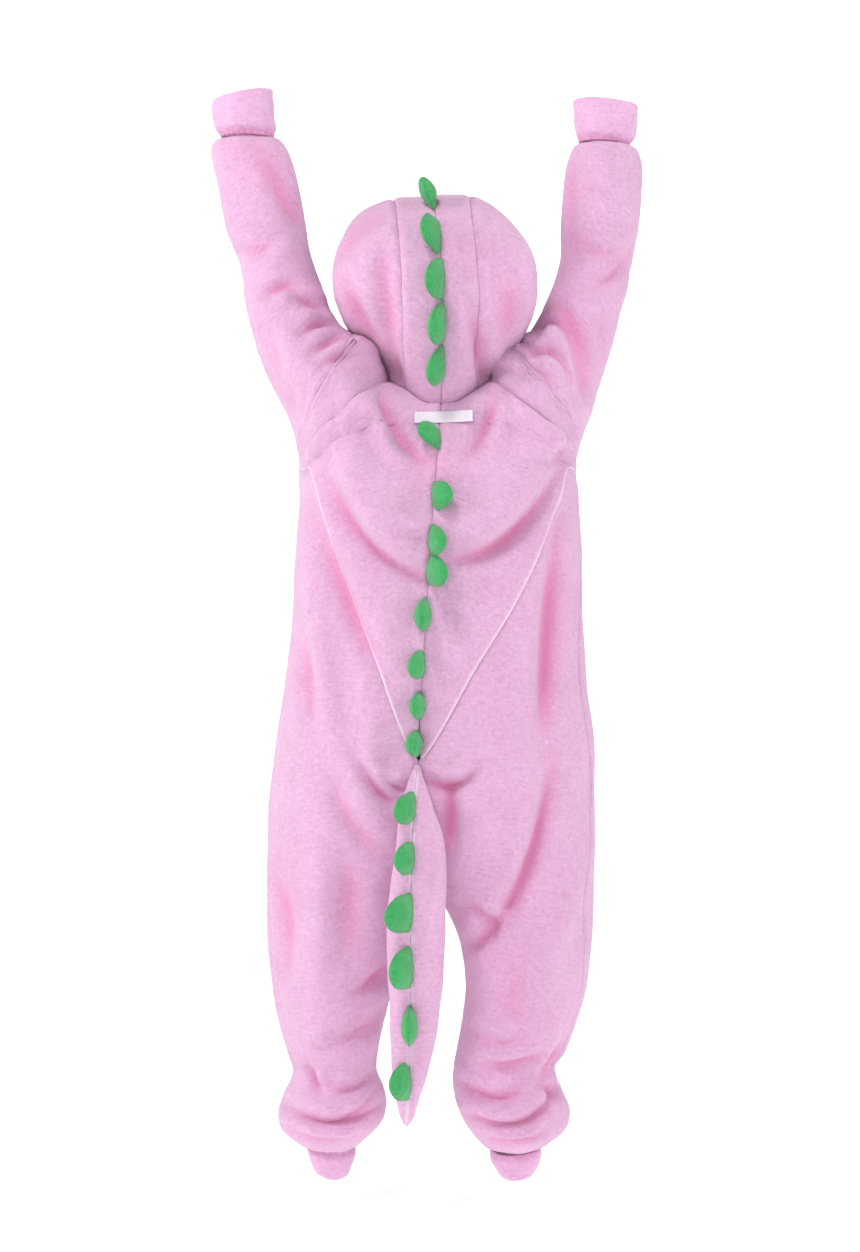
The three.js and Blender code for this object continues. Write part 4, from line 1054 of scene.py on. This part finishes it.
for name, table in CUFFS.items():
    phi = (np.arange(96) / 96)[None]
    length = abs(table[2][1] - table[0][1]) + CUFF_TUCK
    first = -2 * CUFF_TUCK / (length - CUFF_TUCK)
    place = mix(first, 2, shares(length, 1.6)[:, None])
    phi, place = np.broadcast_arrays(phi, place)
    point = cuff_point(table, phi, place)
    middle = point.mean(1, keepdims=True)
    outwards = unit((point - middle) * [1, 1, 0.2])
    from_seam = run(point, 0)
    gathers = np.sin(2 * np.pi * GATHERS * phi + 1.7 * np.sin(2 * np.pi * 3 * phi)) * np.exp(-from_seam / 12)
    buckle = 1.0 * unevenness(point * [1, 1, 1.6], SMALL_WAVES) + 0.5 * unevenness(point, PUCKER_WAVES)
    tuck = -3.6 * (1 - step(CUFF_TUCK - 3, CUFF_TUCK + 6, from_seam))
    tuck = tuck - 0.8 * step(length - 8, length + 6, from_seam)
    point = point + outwards * (gathers + buckle + tuck)[..., None]
    # shade is painted into the band's colour near its seam, where it runs up inside the sleeve or leg
    piece = cloth(name, point, outwards, wall=CUFF_WALL, wrap=True, edges=("start", "end"), seams=("start",),
                  painted_shade=(1 - step(0, CUFF_TUCK + 4, from_seam)) * 0.6)
    piece.data.materials.append(CUFF_PINK_PAINTED_LIGHTER)
    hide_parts(name)
    print(name, len(piece.data.vertices), "vertices")

# %% [markdown]
# ## Hood
# The hood has two side panels and a strip over the middle in two halves, which hold the spikes between
# them. It is a run of arcs, from the neck seam over the crown to the face edge. Each arc goes from the
# centre seam round one side of the head to the chin. The face edge is a hem: for 16 mm the wall is thicker,
# and a shallow groove marks where a row of stitching would run. No thread is modelled there.

# %% Tables of the hood
# centre seam x, y, z and the fullness to the left and right, from the nape to the face edge
HOOD = np.array([
    [-13, 54, 3, 64, 60], [-14, 73, 34, 80, 76], [-15, 93, 78, 110, 102], [-15, 106, 126, 135, 121],
    [-12, 103, 174, 138, 124], [-7, 80, 218, 132, 122], [-3, 36, 248, 122, 116], [0, -18, 256, 112, 108],
    [0, -66, 245, 101, 100], [0, -102, 222, 92, 92],
])
CHIN = {"x": -13, "y": (-52, -64), "z": (-29, 14)}
HOOD_SKEW = 0.82
NECK_LIFT, NECK_LIFT_REACH, NECK_SPREAD = 52, 0.68, 0.77
# height, greatest half width to the left and right
HOOD_LIMIT = np.array([
    [-60, 76, 72], [0, 68, 64], [34, 61, 57], [46, 68, 65], [60, 78, 77], [74, 93, 92], [88, 108, 104],
    [104, 122, 113], [130, 138, 124], [170, 150, 134], [300, 170, 150],
])
STRIP_SHARE = np.array([0.0, 0.17, 0.105, 0.072, 0.068, 0.07, 0.076, 0.086, 0.099, 0.113])
STRIP_SHARE[0] = ((NECK_BASE - 11.6) / (NECK_BASE - UNDERARM)) ** (1 / NECK_SPREAD) / 2
HEM_WIDTH, HEM_EXTRA, HEM_GROOVE, HEM_GROOVE_REACH = 16.0, 1.9, 0.7, 1.6
ALLOWANCE_REACH, ALLOWANCE_IN, ALLOWANCE_DOWN = 6, 1.6, 4.5
# how strongly a highlight is painted along the hood's seams
HOOD_SEAM_HIGHLIGHT = 0.1


def neckline(side, s):
    """The body's neckline, a share s from its centre back to its centre front, just above the cloth."""
    v = mix(NECK_BASE, UNDERARM, (2 * np.minimum(s, 1 - s)) ** NECK_SPREAD)
    return body_point(side, np.where(s < 0.5, 1.0, 0.0), v) + [0, 0, 0.4]


def hood_point(side, t, s):
    """A point of the hood: t from nape to face edge and s from the centre seam to the chin. An arc is half an
    ellipse on the chord from the seam to the chin. Its width, fullness sin(pi s^skew), is held under a limit
    by w / (1 + (w / limit)^8)^(1/8). The side neck is lifted, and the lowest arc is the neckline."""
    t, s = np.broadcast_arrays(np.asarray(t, float), np.asarray(s, float))
    place = t * (len(HOOD) - 1)
    top = np.stack([smooth_rows(HOOD[:, k], place) for k in range(3)], -1)
    chin = np.stack([np.full(t.shape, CHIN["x"]), mix(*CHIN["y"], t), mix(*CHIN["z"], t)], -1)
    point = mix(top, chin, ((1 - np.cos(np.pi * s)) / 2)[..., None])
    lift = NECK_LIFT * (1 - np.minimum(1, t / NECK_LIFT_REACH) ** 2) ** 1.3
    point[..., 2] += lift * np.sin(np.pi * s).clip(0) ** np.where(s < 0.5, 1.5, 1)
    skew = mix(1, HOOD_SKEW, np.minimum(1, t * 3))
    column = 3 if side > 0 else 4
    width = smooth_rows(HOOD[:, column], place) * np.sin(np.pi * s ** skew).clip(0)
    limit = straight_rows(HOOD_LIMIT, column - 2, point[..., 2])
    point[..., 0] += side * width / (1 + (width / limit) ** 8) ** (1 / 8)
    return mix(point, neckline(side, s), (np.maximum(0, 1 - place) ** 2)[..., None])


print("crown of the hood:", np.round(hood_point(1, 0.78, 0.0)).tolist())

# %% Hood panels


def hood_panel(name, side, low, high, sewn):
    """A part of the hood between two shares of its arcs, each given for every row."""
    rows = shares(430.0)
    count = np.linalg.norm(np.diff(hood_point(side, 0.4, np.linspace(low(0.4), high(0.4), 40)), axis=0),
                           axis=-1)
    across = shares(max(30.0, count.sum()))
    t = np.broadcast_to(rows[:, None], (len(rows), len(across)))
    s = mix(low(rows)[:, None], high(rows)[:, None], across)
    point = hood_point(side, t, s)
    normal = surface_normal(lambda a, b: hood_point(side, a, b), t, s, ((0, 1), (0, 1)), side)
    centre = np.where(low(rows)[:, None] < 1e-6, run(point, 1), 1e3)
    if name.startswith("hood_side"):
        centre = run(point, 1)[:, -1:] - run(point, 1)
    near_centre = np.exp(-((centre / CENTRE_REACH) ** 2))
    folds = drape(point, normal, HOOD_FOLDS) * step(0.0, 0.07, t)
    from_hem = run(point, 0)[-1:] - run(point, 0)
    hem = 1 - step(HEM_WIDTH - 1.5, HEM_WIDTH + 1.5, from_hem)
    height = folds + seam_height(point, edge_distance(point, False, sewn))
    height = height - HEM_GROOVE * np.exp(-(((from_hem - HEM_WIDTH) / HEM_GROOVE_REACH) ** 2))
    way = normal * np.stack([1 - near_centre, np.ones_like(centre), np.ones_like(centre)], -1)
    # the seam allowance at the neck is turned in and down, behind the edge of the yoke
    allowance = np.exp(-((run(point, 0) / ALLOWANCE_REACH) ** 2))
    inwards = unit((np.array([CHIN_X, 0.0, 0.0]) - point) * [1, 1, 0]) * np.stack(
        [1 - near_centre, np.ones_like(centre), np.zeros_like(centre)], -1)
    point = point + allowance[..., None] * (ALLOWANCE_IN * inwards - [0, 0, ALLOWANCE_DOWN])
    piece = cloth(name, point + way * height[..., None], normal, wall=WALL + HEM_EXTRA * hem, seams=sewn,
                  painted_shade=painted_shade_share(folds), seam_highlight=HOOD_SEAM_HIGHLIGHT)
    piece.data.materials.append(PINK)
    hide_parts(name)
    print(name, len(piece.data.vertices), "vertices")
    return piece


def strip_edge(t):
    """The share of an arc that is the strip."""
    return smooth_rows(STRIP_SHARE, np.asarray(t, float) * (len(HOOD) - 1))


for side, word in SIDES.items():
    hood_panel(f"hood_strip_{word}", side, lambda t: np.zeros_like(np.asarray(t, float)), strip_edge,
               ("start", "low", "high"))
    hood_panel(f"hood_side_{word}", side, strip_edge, lambda t: np.ones_like(np.asarray(t, float)),
               ("start", "low", "high"))

# %% [markdown]
# ## Tail
# The tail is a stuffed bag of two halves that meet along a seam on its outside, where its spikes are sewn
# in. It lies against the seat and hangs down. Each half is worked out as a ring that runs out over the
# stuffing and back along the flat middle, carried from the root to the tip.

# %% Stuffed halves of the tail
# z, seam x, left, right, thickness, y of the side against the seat
TAIL = np.array([
    [-420, 15, 3, 3, 7, 104], [-446, 17, 10, 14, 18, 102], [-470, 19, 15, 24, 28, 102],
    [-500, 20, 18, 35, 36, 103],
    [-545, 21, 23, 40, 42, 104], [-590, 22, 27, 40, 46, 104], [-640, 22, 27, 38, 47, 103],
    [-690, 22, 25, 34, 45, 101],
    [-740, 23, 22, 28, 40, 99], [-780, 24, 18, 20, 33, 97], [-812, 26, 12, 12, 25, 96],
    [-838, 27, 5, 5, 13, 97],
])
TAIL_WAVES = make_waves(33, 18, 20, 70, 0.8)


def tail_row(place):
    """The tail's sizes at a fractional row of the table."""
    return [smooth_rows(TAIL[:, k], place) for k in range(TAIL.shape[1])]


def closed_by_poles(name, grid, uv_scale=1.0, attributes=None):
    """A closed skin from a grid whose columns wrap: triangles between the rows, and a fan to the middle of
    the first and last row."""
    rows, columns = grid.shape[:2]
    r, c = (k.ravel() for k in np.meshgrid(np.arange(rows - 1), np.arange(columns), indexing="ij"))
    ids = lambda i, j: i * columns + j % columns
    first, last = rows * columns, rows * columns + 1
    around = np.arange(columns)
    faces = np.concatenate([
        np.stack([ids(r, c), ids(r + 1, c), ids(r + 1, c + 1)], 1),
        np.stack([ids(r, c), ids(r + 1, c + 1), ids(r, c + 1)], 1),
        np.stack([np.full(columns, first), ids(0, around), ids(0, around + 1)], 1),
        np.stack([np.full(columns, last), ids(rows - 1, around + 1), ids(rows - 1, around)], 1),
    ])
    vertices = np.concatenate([grid.reshape(-1, 3), grid[:1].mean(1), grid[-1:].mean(1)])
    u, v = run(grid, 1).mean(0), run(grid, 0).mean(1)
    u = np.append(u, u[-1] * columns / (columns - 1))
    corner = lambda i, j: np.stack([u[j], v[i]], -1)
    low, high = np.full(columns, 0), np.full(columns, rows - 1)
    uv = np.concatenate([
        np.stack([corner(r, c), corner(r + 1, c), corner(r + 1, c + 1)], 1),
        np.stack([corner(r, c), corner(r + 1, c + 1), corner(r, c + 1)], 1),
        np.stack([corner(low, around), corner(low, around), corner(low, around + 1)], 1),
        np.stack([corner(high, around), corner(high, around + 1), corner(high, around)], 1),
    ]) * uv_scale
    values = {key: np.append(value.ravel(), [value[0].mean(), value[-1].mean()])
              for key, value in (attributes or {}).items()}
    return new_piece(name, vertices, faces, uv, values)


for side, word in SIDES.items():
    place = shares(420.0, 3.0)[:, None] * (len(TAIL) - 1)
    outer = np.linspace(0, np.pi, 44)[None]
    z, seam_x, left, right, thick, back = tail_row(place)
    reach = left if side > 0 else right
    tip = np.sqrt(np.clip(1 - ((place - 10.4) / 0.6).clip(0) ** 2, 0.02, 1))
    reach, plump = reach * tip, thick * tip
    x = seam_x + side * (0.1 + reach * np.sin(outer).clip(0) ** 0.8)
    y = back + thick * (1 - tip) / 2 + plump / 2 * (1 + np.cos(outer))
    skin = np.stack([x, y, np.broadcast_to(z, x.shape)], -1)
    middle = skin.mean(1, keepdims=True)
    outwards = unit((skin - middle) * [1, 1, 0])
    from_seam = np.minimum(run(skin, 1), run(skin, 1)[:, -1:] - run(skin, 1))
    puckers = 1.6 * unevenness(skin, PUCKER_WAVES) * np.exp(-from_seam / 10)
    lumps = 1.1 * unevenness(skin, TAIL_WAVES) + puckers
    dip = -2.0 * np.exp(-((from_seam / 2.4) ** 2))
    sideways = 1 - np.exp(-((from_seam / 5) ** 2))
    shift = outwards * (lumps + dip)[..., None] * np.stack([sideways, np.ones_like(x), np.ones_like(x) * 0],
                                                           -1)
    skin = skin + shift
    flat = np.linspace(1, 0, 8)[None, 1:-1, None]
    inside = mix(skin[:, :1], skin[:, -1:], flat)
    ring = np.concatenate([skin, inside], 1)
    seam_value = np.concatenate([np.exp(-((from_seam / 3.0) ** 2)), np.ones(inside.shape[:2])], 1)
    # a highlight is painted along the tail's seam and over its flat side against the seat
    piece = closed_by_poles(f"tail_{word}", ring,
                            attributes={"seam": seam_value * 0.7, "painted_shade": seam_value * 0})
    piece.data.materials.append(PINK)
    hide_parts(f"tail_{word}")
    print(piece.name, len(piece.data.vertices), "vertices")

# %% [markdown]
# ## Spikes
# Each spike is two leaf-shaped pieces of green fleece, sewn round the edge, turned and stuffed. Its foot is
# caught in a seam of the garment, so it is pinched there and swells above. No two lean the same way.

# %% Spikes
# where its foot is (seam, place along it), length along the seam, height, lean to the wearer's left
SPIKES = [
    ("hood", 0.63, 34, 38, 0.35), ("hood", 0.49, 46, 40, 0.6), ("hood", 0.37, 46, 40, 0.55),
    ("hood", 0.26, 46, 40, 0.45), ("hood", 0.15, 44, 38, 0.45), ("back", 14.8, 32, 36, 0.8),
    ("back", 15.68, 34, 36, -0.6), ("back", 16.26, 34, 36, -0.5), ("back", 16.64, 36, 42, -0.5),
    ("back", 17.27, 38, 36, 0.25), ("back", 18.04, 32, 34, 0.5), ("back", 18.54, 32, 32, 0.2),
    ("back", 19.04, 30, 32, 0.4), ("tail", -468, 36, 36, 0.75), ("tail", -524, 36, 34, 0.6),
    ("tail", -586, 42, 42, 0.85), ("tail", -648, 46, 40, 0.7), ("tail", -715, 44, 34, 0.05),
    ("tail", -781, 42, 36, 0.65),
]
SPIKE_THICK = 18.0
SPIKE_SINK = 0.7
CROWN_CURVE = 240.0  # twice the radius of the hood along its centre seam


def spike_foot(seam, at):
    """Where a spike's foot stands on its seam, and the way out of the cloth there."""
    if seam == "tail":
        place = np.interp(-at, -TAIL[:, 0], np.arange(len(TAIL)))
        _, x, _, _, thick, back = tail_row(place)
        return np.array([x, back + thick - 2, at]), np.array([0.0, 1, 0])
    if seam == "hood":
        point = hood_point(1, at, 0.0)
        normal = surface_normal(lambda a, b: hood_point(1, a, b), np.array(at), np.array(0.0),
                                ((0, 1), (0, 1)), 1)
        height = drape(point[None], normal[None], HOOD_FOLDS)[0]
    else:
        point = body_point(1, 1.0, at)
        normal = body_normal(1, np.array(1.0), np.array(at))
        height = drape(point[None], normal[None], FOLDS)[0]
    normal = unit(normal * [0, 1, 1])
    return point + normal * (height - 0.6), normal


def spike_skin(seam, at, length, height, lean, seed):
    """A stuffed leaf. At a share u of its height its half length is length/2 (1 - u^3.4)^0.5 and its half
    thickness swells from the pinched foot and rounds off at the tip. Its section is a lens, cos a along and
    sin a |sin a|^0.3 across, and the whole leaf bends towards its tip. On the hood the foot follows the crown
    by -a^2 / (2 radius)."""
    rng = np.random.default_rng(seed)
    foot, out = spike_foot(seam, at)
    along = unit(np.cross([1, 0, 0], out))
    growth = unit(out + np.array([lean, 0, 0]))
    across = unit(np.cross(along, growth))
    up = np.sin(np.linspace(0, 1, 26) * np.pi / 2)[:, None]
    turn = (np.arange(44) / 44 * 2 * np.pi)[None]
    long_way = length / 2 * (1 - up ** 3.4).clip(0) ** 0.5
    plump = SPIKE_THICK / 2 * rng.uniform(0.94, 1.1) * mix(0.42, 1.14, step(0, 0.5, up))
    plump = plump * (1 - up ** 3).clip(0) ** 0.5
    edge = np.exp(-((np.sin(turn) / 0.2) ** 2))
    a = long_way * np.cos(turn) * (1 + 0.05 * edge)
    b = plump * np.sin(turn) * np.abs(np.sin(turn)) ** 0.3
    h = up * height - (a ** 2 / CROWN_CURVE * (1 - up) if seam == "hood" else 0 * turn)
    bend = rng.uniform(-5, -1) * up ** 2
    twist = rng.uniform(-2.5, 2.5) * up ** 2
    local = np.stack([a + bend, b + twist, h], -1)
    ripple = unevenness(local + [seed * 50.0, 0, 0], PUCKER_WAVES) * 0.45 * (0.4 + edge)
    outward = unit(local * [1, 1, 0.0] - np.stack([bend, twist, 0 * up], -1) + 1e-6)
    local = local + outward * (ripple * np.sqrt(1 - up ** 4))[..., None]
    axes = np.stack([along, across, growth])
    skin = foot - out * SPIKE_SINK + local @ axes
    return skin, edge * np.ones_like(up)


for number, (seam, at, length, height, lean) in enumerate(SPIKES, 1):
    skin, edge = spike_skin(seam, at, length, height, lean, number)
    name = f"spike_{number:02d}"
    # shade and a highlight are both painted along the sewn rim of each leaf
    piece = closed_by_poles(name, skin, attributes={"seam": edge * 0.35, "painted_shade": edge * 0.5})
    piece.data.materials.append(GREEN)
    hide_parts(name)
print("spikes:", len(SPIKES), "of", len(piece.data.vertices), "vertices each")

# %% [markdown]
# ## Label, placket and buttons
# The label lies on the yoke just under the neck seam. It is a bare white strip, sewn at its ends. The front
# closes with a placket of doubled fleece, two rows of stitches and five snap caps. The label is laid on a
# curved surface y = a + b x + c z + d x^2 fitted to the cloth's own points by least squares, and lifted
# until 97% of them lie inside it.

# %% Points of the cloth


def outer_points(*names):
    """The points of some pieces' outer faces: the first half of each shell's vertices, in millimetres."""
    found = []
    for name in names:
        mesh = made[name].data
        co = np.empty(len(mesh.vertices) * 3, np.float32)
        mesh.vertices.foreach_get("co", co)
        found.append(co.reshape(-1, 3)[: len(mesh.vertices) // 2] / MM)
    return np.concatenate(found).astype(float)


# %% Label
LABEL = {"left": 18.0, "right": -50.0, "top": -8.0, "bottom": -22.0, "tilt": 0.03, "wall": 0.8}
across = shares(LABEL["left"] - LABEL["right"], 1.6)[None]
down = shares(LABEL["top"] - LABEL["bottom"], 1.6)[:, None]
x = mix(LABEL["right"], LABEL["left"], across) + 0 * down
z = mix(LABEL["top"], LABEL["bottom"], down) - LABEL["tilt"] * x
back_cloud = outer_points("yoke_left", "yoke_right")
back_cloud = back_cloud[back_cloud[:, 1] > 0]
LABEL_MARGIN_X, LABEL_MARGIN_Z, LABEL_CLEARS, LABEL_GAP = 36, 9, 0.97, 0.3
near_label = (np.abs(back_cloud[:, 0] - x.mean()) < LABEL_MARGIN_X) & (
    np.abs(back_cloud[:, 2] - z.mean()) < LABEL_MARGIN_Z)
below = back_cloud[near_label]
terms = np.stack([below[:, 0] * 0 + 1, below[:, 0], below[:, 2], below[:, 0] ** 2], 1)
fit = np.linalg.lstsq(terms, below[:, 1], rcond=None)[0]


def label_surface(x, z):
    """The surface y = a + b x + c z + d x^2 that fits the cloth under the label best."""
    return fit[0] + fit[1] * x + fit[2] * z + fit[3] * x ** 2


clear = below[:, 1] - label_surface(below[:, 0], below[:, 2])
y = label_surface(x, z) + np.quantile(clear, LABEL_CLEARS) + LABEL["wall"] / 2 + LABEL_GAP
print("the cloth under the label is uneven by", round(float(np.ptp(clear)), 1), "mm")
label_grid = np.stack([x, y, z], -1)
label_normal = np.broadcast_to([0.0, 1.0, 0.2], label_grid.shape)
label = cloth("neck_label", label_grid, label_normal, wall=LABEL["wall"])
label.data.materials.append(LABEL_WHITE)
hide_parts("neck_label")
print("label from", np.round(label_grid.min((0, 1))).tolist(), "to",
      np.round(label_grid.max((0, 1))).tolist())

# %% Placket
PLACKET_PHI, PLACKET_LIFT, PLACKET_WALL = 0.026, 3.4, 3.4
v = along_stations(1, 14.15, 18.6, 0.0)[:, None]
phi = mix(-PLACKET_PHI, PLACKET_PHI, shares(28.0, 1.6))[None]


def front_point(phi, v):
    """The body's cloth near the centre front: the left half where phi is above zero, the right half below."""
    return np.where((phi > 0)[..., None], body_point(1, np.abs(phi), v), body_point(-1, np.abs(phi), v))


phi, v = np.broadcast_arrays(phi, v)
placket_point = front_point(phi, v)
placket_normal = unit(np.cross(np.gradient(placket_point, axis=1), np.gradient(placket_point, axis=0)))
placket_normal *= np.sign(-placket_normal[..., 1:2])
placket_height = drape(placket_point, placket_normal, FOLDS) + PLACKET_LIFT
placket_edge = edge_distance(placket_point, False, ("start", "end", "low", "high"))
placket_height = placket_height - 0.6 * np.exp(-(((placket_edge - 3.0) / 1.0) ** 2))
placket_height = placket_height - 1.2 * np.exp(-placket_edge / 2)
placket_grid = placket_point + placket_normal * placket_height[..., None]
placket = cloth("button_placket", placket_grid, placket_normal, wall=PLACKET_WALL)
placket.data.materials.append(PINK)
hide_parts("button_placket")
print("placket:", round(float(run(placket_grid, 0)[-1].mean())), "mm long")

# %% Buttons
BUTTON_PLACES = [14.75, 15.6, 16.45, 17.3, 18.1]
# radius, height of a button's profile, from the middle of its face round to the middle of its back
BUTTON_PROFILE = np.array([
    [0.6, 3.1], [1.4, 3.1], [2.2, 3.1], [3.0, 3.1], [3.8, 3.1], [5.0, 3.2], [6.0, 3.6], [6.8, 4.1],
    [7.5, 4.3],
    [8.2, 4.15], [8.7, 3.7], [9.0, 3.0], [9.0, 2.2], [8.7, 1.4], [8.0, 0.9], [6.0, 0.6], [3.0, 0.6],
    [0.6, 0.6],
])


def button_frame(v):
    """The middle of a button's back on the placket, and its three directions: across, down and out."""
    row = np.argmin(np.abs(along_stations(1, 14.15, 18.6, 0.0) - v))
    column = placket_grid.shape[1] // 2
    out = placket_normal[row, column]
    down = unit(placket_grid[row + 3, column] - placket_grid[row - 3, column])
    across = unit(np.cross(down, out))
    at = placket_grid[row, column] + out * (PLACKET_WALL / 2 + 0.2)
    return at, np.stack([across, np.cross(out, across), out])


for number, v in enumerate(BUTTON_PLACES, 1):
    place, axes = button_frame(v)
    turn = (np.arange(56) / 56 * 2 * np.pi)[None]
    radius, height = BUTTON_PROFILE[:, 0][:, None], BUTTON_PROFILE[:, 1][:, None]
    local = np.stack([radius * np.cos(turn), radius * np.sin(turn), height + 0 * turn], -1)
    button = closed_by_poles(f"button_{number}", place + local @ axes)
    button.data.materials.append(BUTTON_PINK)
    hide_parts(f"button_{number}")
print("buttons:", len(BUTTON_PLACES))

# %% [markdown]
# ## Stitches
# The placket and the label are topstitched. A row of stitches follows a line of the cloth's own grid, each
# stitch a short tube of thread that rises from the cloth and goes back into it.

# %% Rows of stitches
STITCH_PITCH, STITCH_LENGTH, STITCH_RADIUS = 3.6, 2.7, 0.42


def stitch_row(name, line, out, material):
    """Stitches along a line of points, evenly spaced, in one mesh: tubes whose middle rises and whose radius
    is sqrt(sin) of the way along, each closed at both ends by its narrowing rings."""
    length = run(line[:, None], 0)[:, 0]
    starts = np.arange(1.0, length[-1] - STITCH_PITCH, STITCH_PITCH)
    t = np.linspace(0.02, 0.98, 7)
    at = starts[:, None] + t * STITCH_LENGTH
    centre = np.stack([np.interp(at, length, line[:, k]) for k in range(3)], -1)
    outward = unit(np.stack([np.interp(at, length, out[:, k]) for k in range(3)], -1))
    way = unit(np.gradient(centre, axis=1))
    aside = unit(np.cross(way, outward))
    thick = (STITCH_RADIUS * np.sqrt(np.sin(np.pi * t)))[None, :, None, None]
    turn = np.arange(6) / 6 * 2 * np.pi
    centre = centre + outward * (0.45 * np.sin(np.pi * t))[None, :, None]
    circle = aside[:, :, None] * np.cos(turn)[:, None] + outward[:, :, None] * np.sin(turn)[:, None]
    rings = centre[:, :, None] + thick * circle
    count, steps, sides = rings.shape[:3]
    base = (np.arange(count) * steps * sides)[:, None, None]
    i = np.arange(steps - 1)[None, :, None] * sides
    j = np.arange(sides)[None, None, :]
    after = (j + 1) % sides
    corner = [base + i + j, base + i + sides + j, base + i + sides + after, base + i + after]
    tubes = np.stack([k.ravel() for k in corner], 1)
    fan = np.array([[0, 1, 2, 3], [0, 3, 4, 5]])
    caps = np.concatenate([base[:, :, 0, None] + fan,
                           base[:, :, 0, None] + (steps - 1) * sides + fan[:, ::-1]], 1)
    piece = new_piece(name, rings, np.concatenate([tubes, caps.reshape(-1, 4)]))
    piece.data.materials.append(material)
    return piece


outer = placket_grid + placket_normal * PLACKET_WALL / 2
for word, column in (("left", -7), ("right", 6)):
    stitch_row(f"placket_stitches_{word}", outer[4:-4, column], placket_normal[4:-4, column],
                               THREAD_PINK)
label_out = label_grid + unit(label_normal) * LABEL["wall"] / 2
for word, column in (("left", -6), ("right", 5)):
    stitch_row(f"label_stitches_{word}", label_out[3:-3, column],
                               unit(label_normal)[3:-3, column],
                               LABEL_WHITE)

# %% [markdown]
# ## Triangles
# Each piece of cloth has the size it was cut to before it was sewn, and a simulation or a fold must not
# make cloth out of nothing. The last cell only counts the triangles of all the pieces.

# %% Triangles, and the end
print("triangles:",
      sum(len(p.data.polygons) * (2 if len(p.data.polygons[0].vertices) == 4 else 1) for p in made.values()))
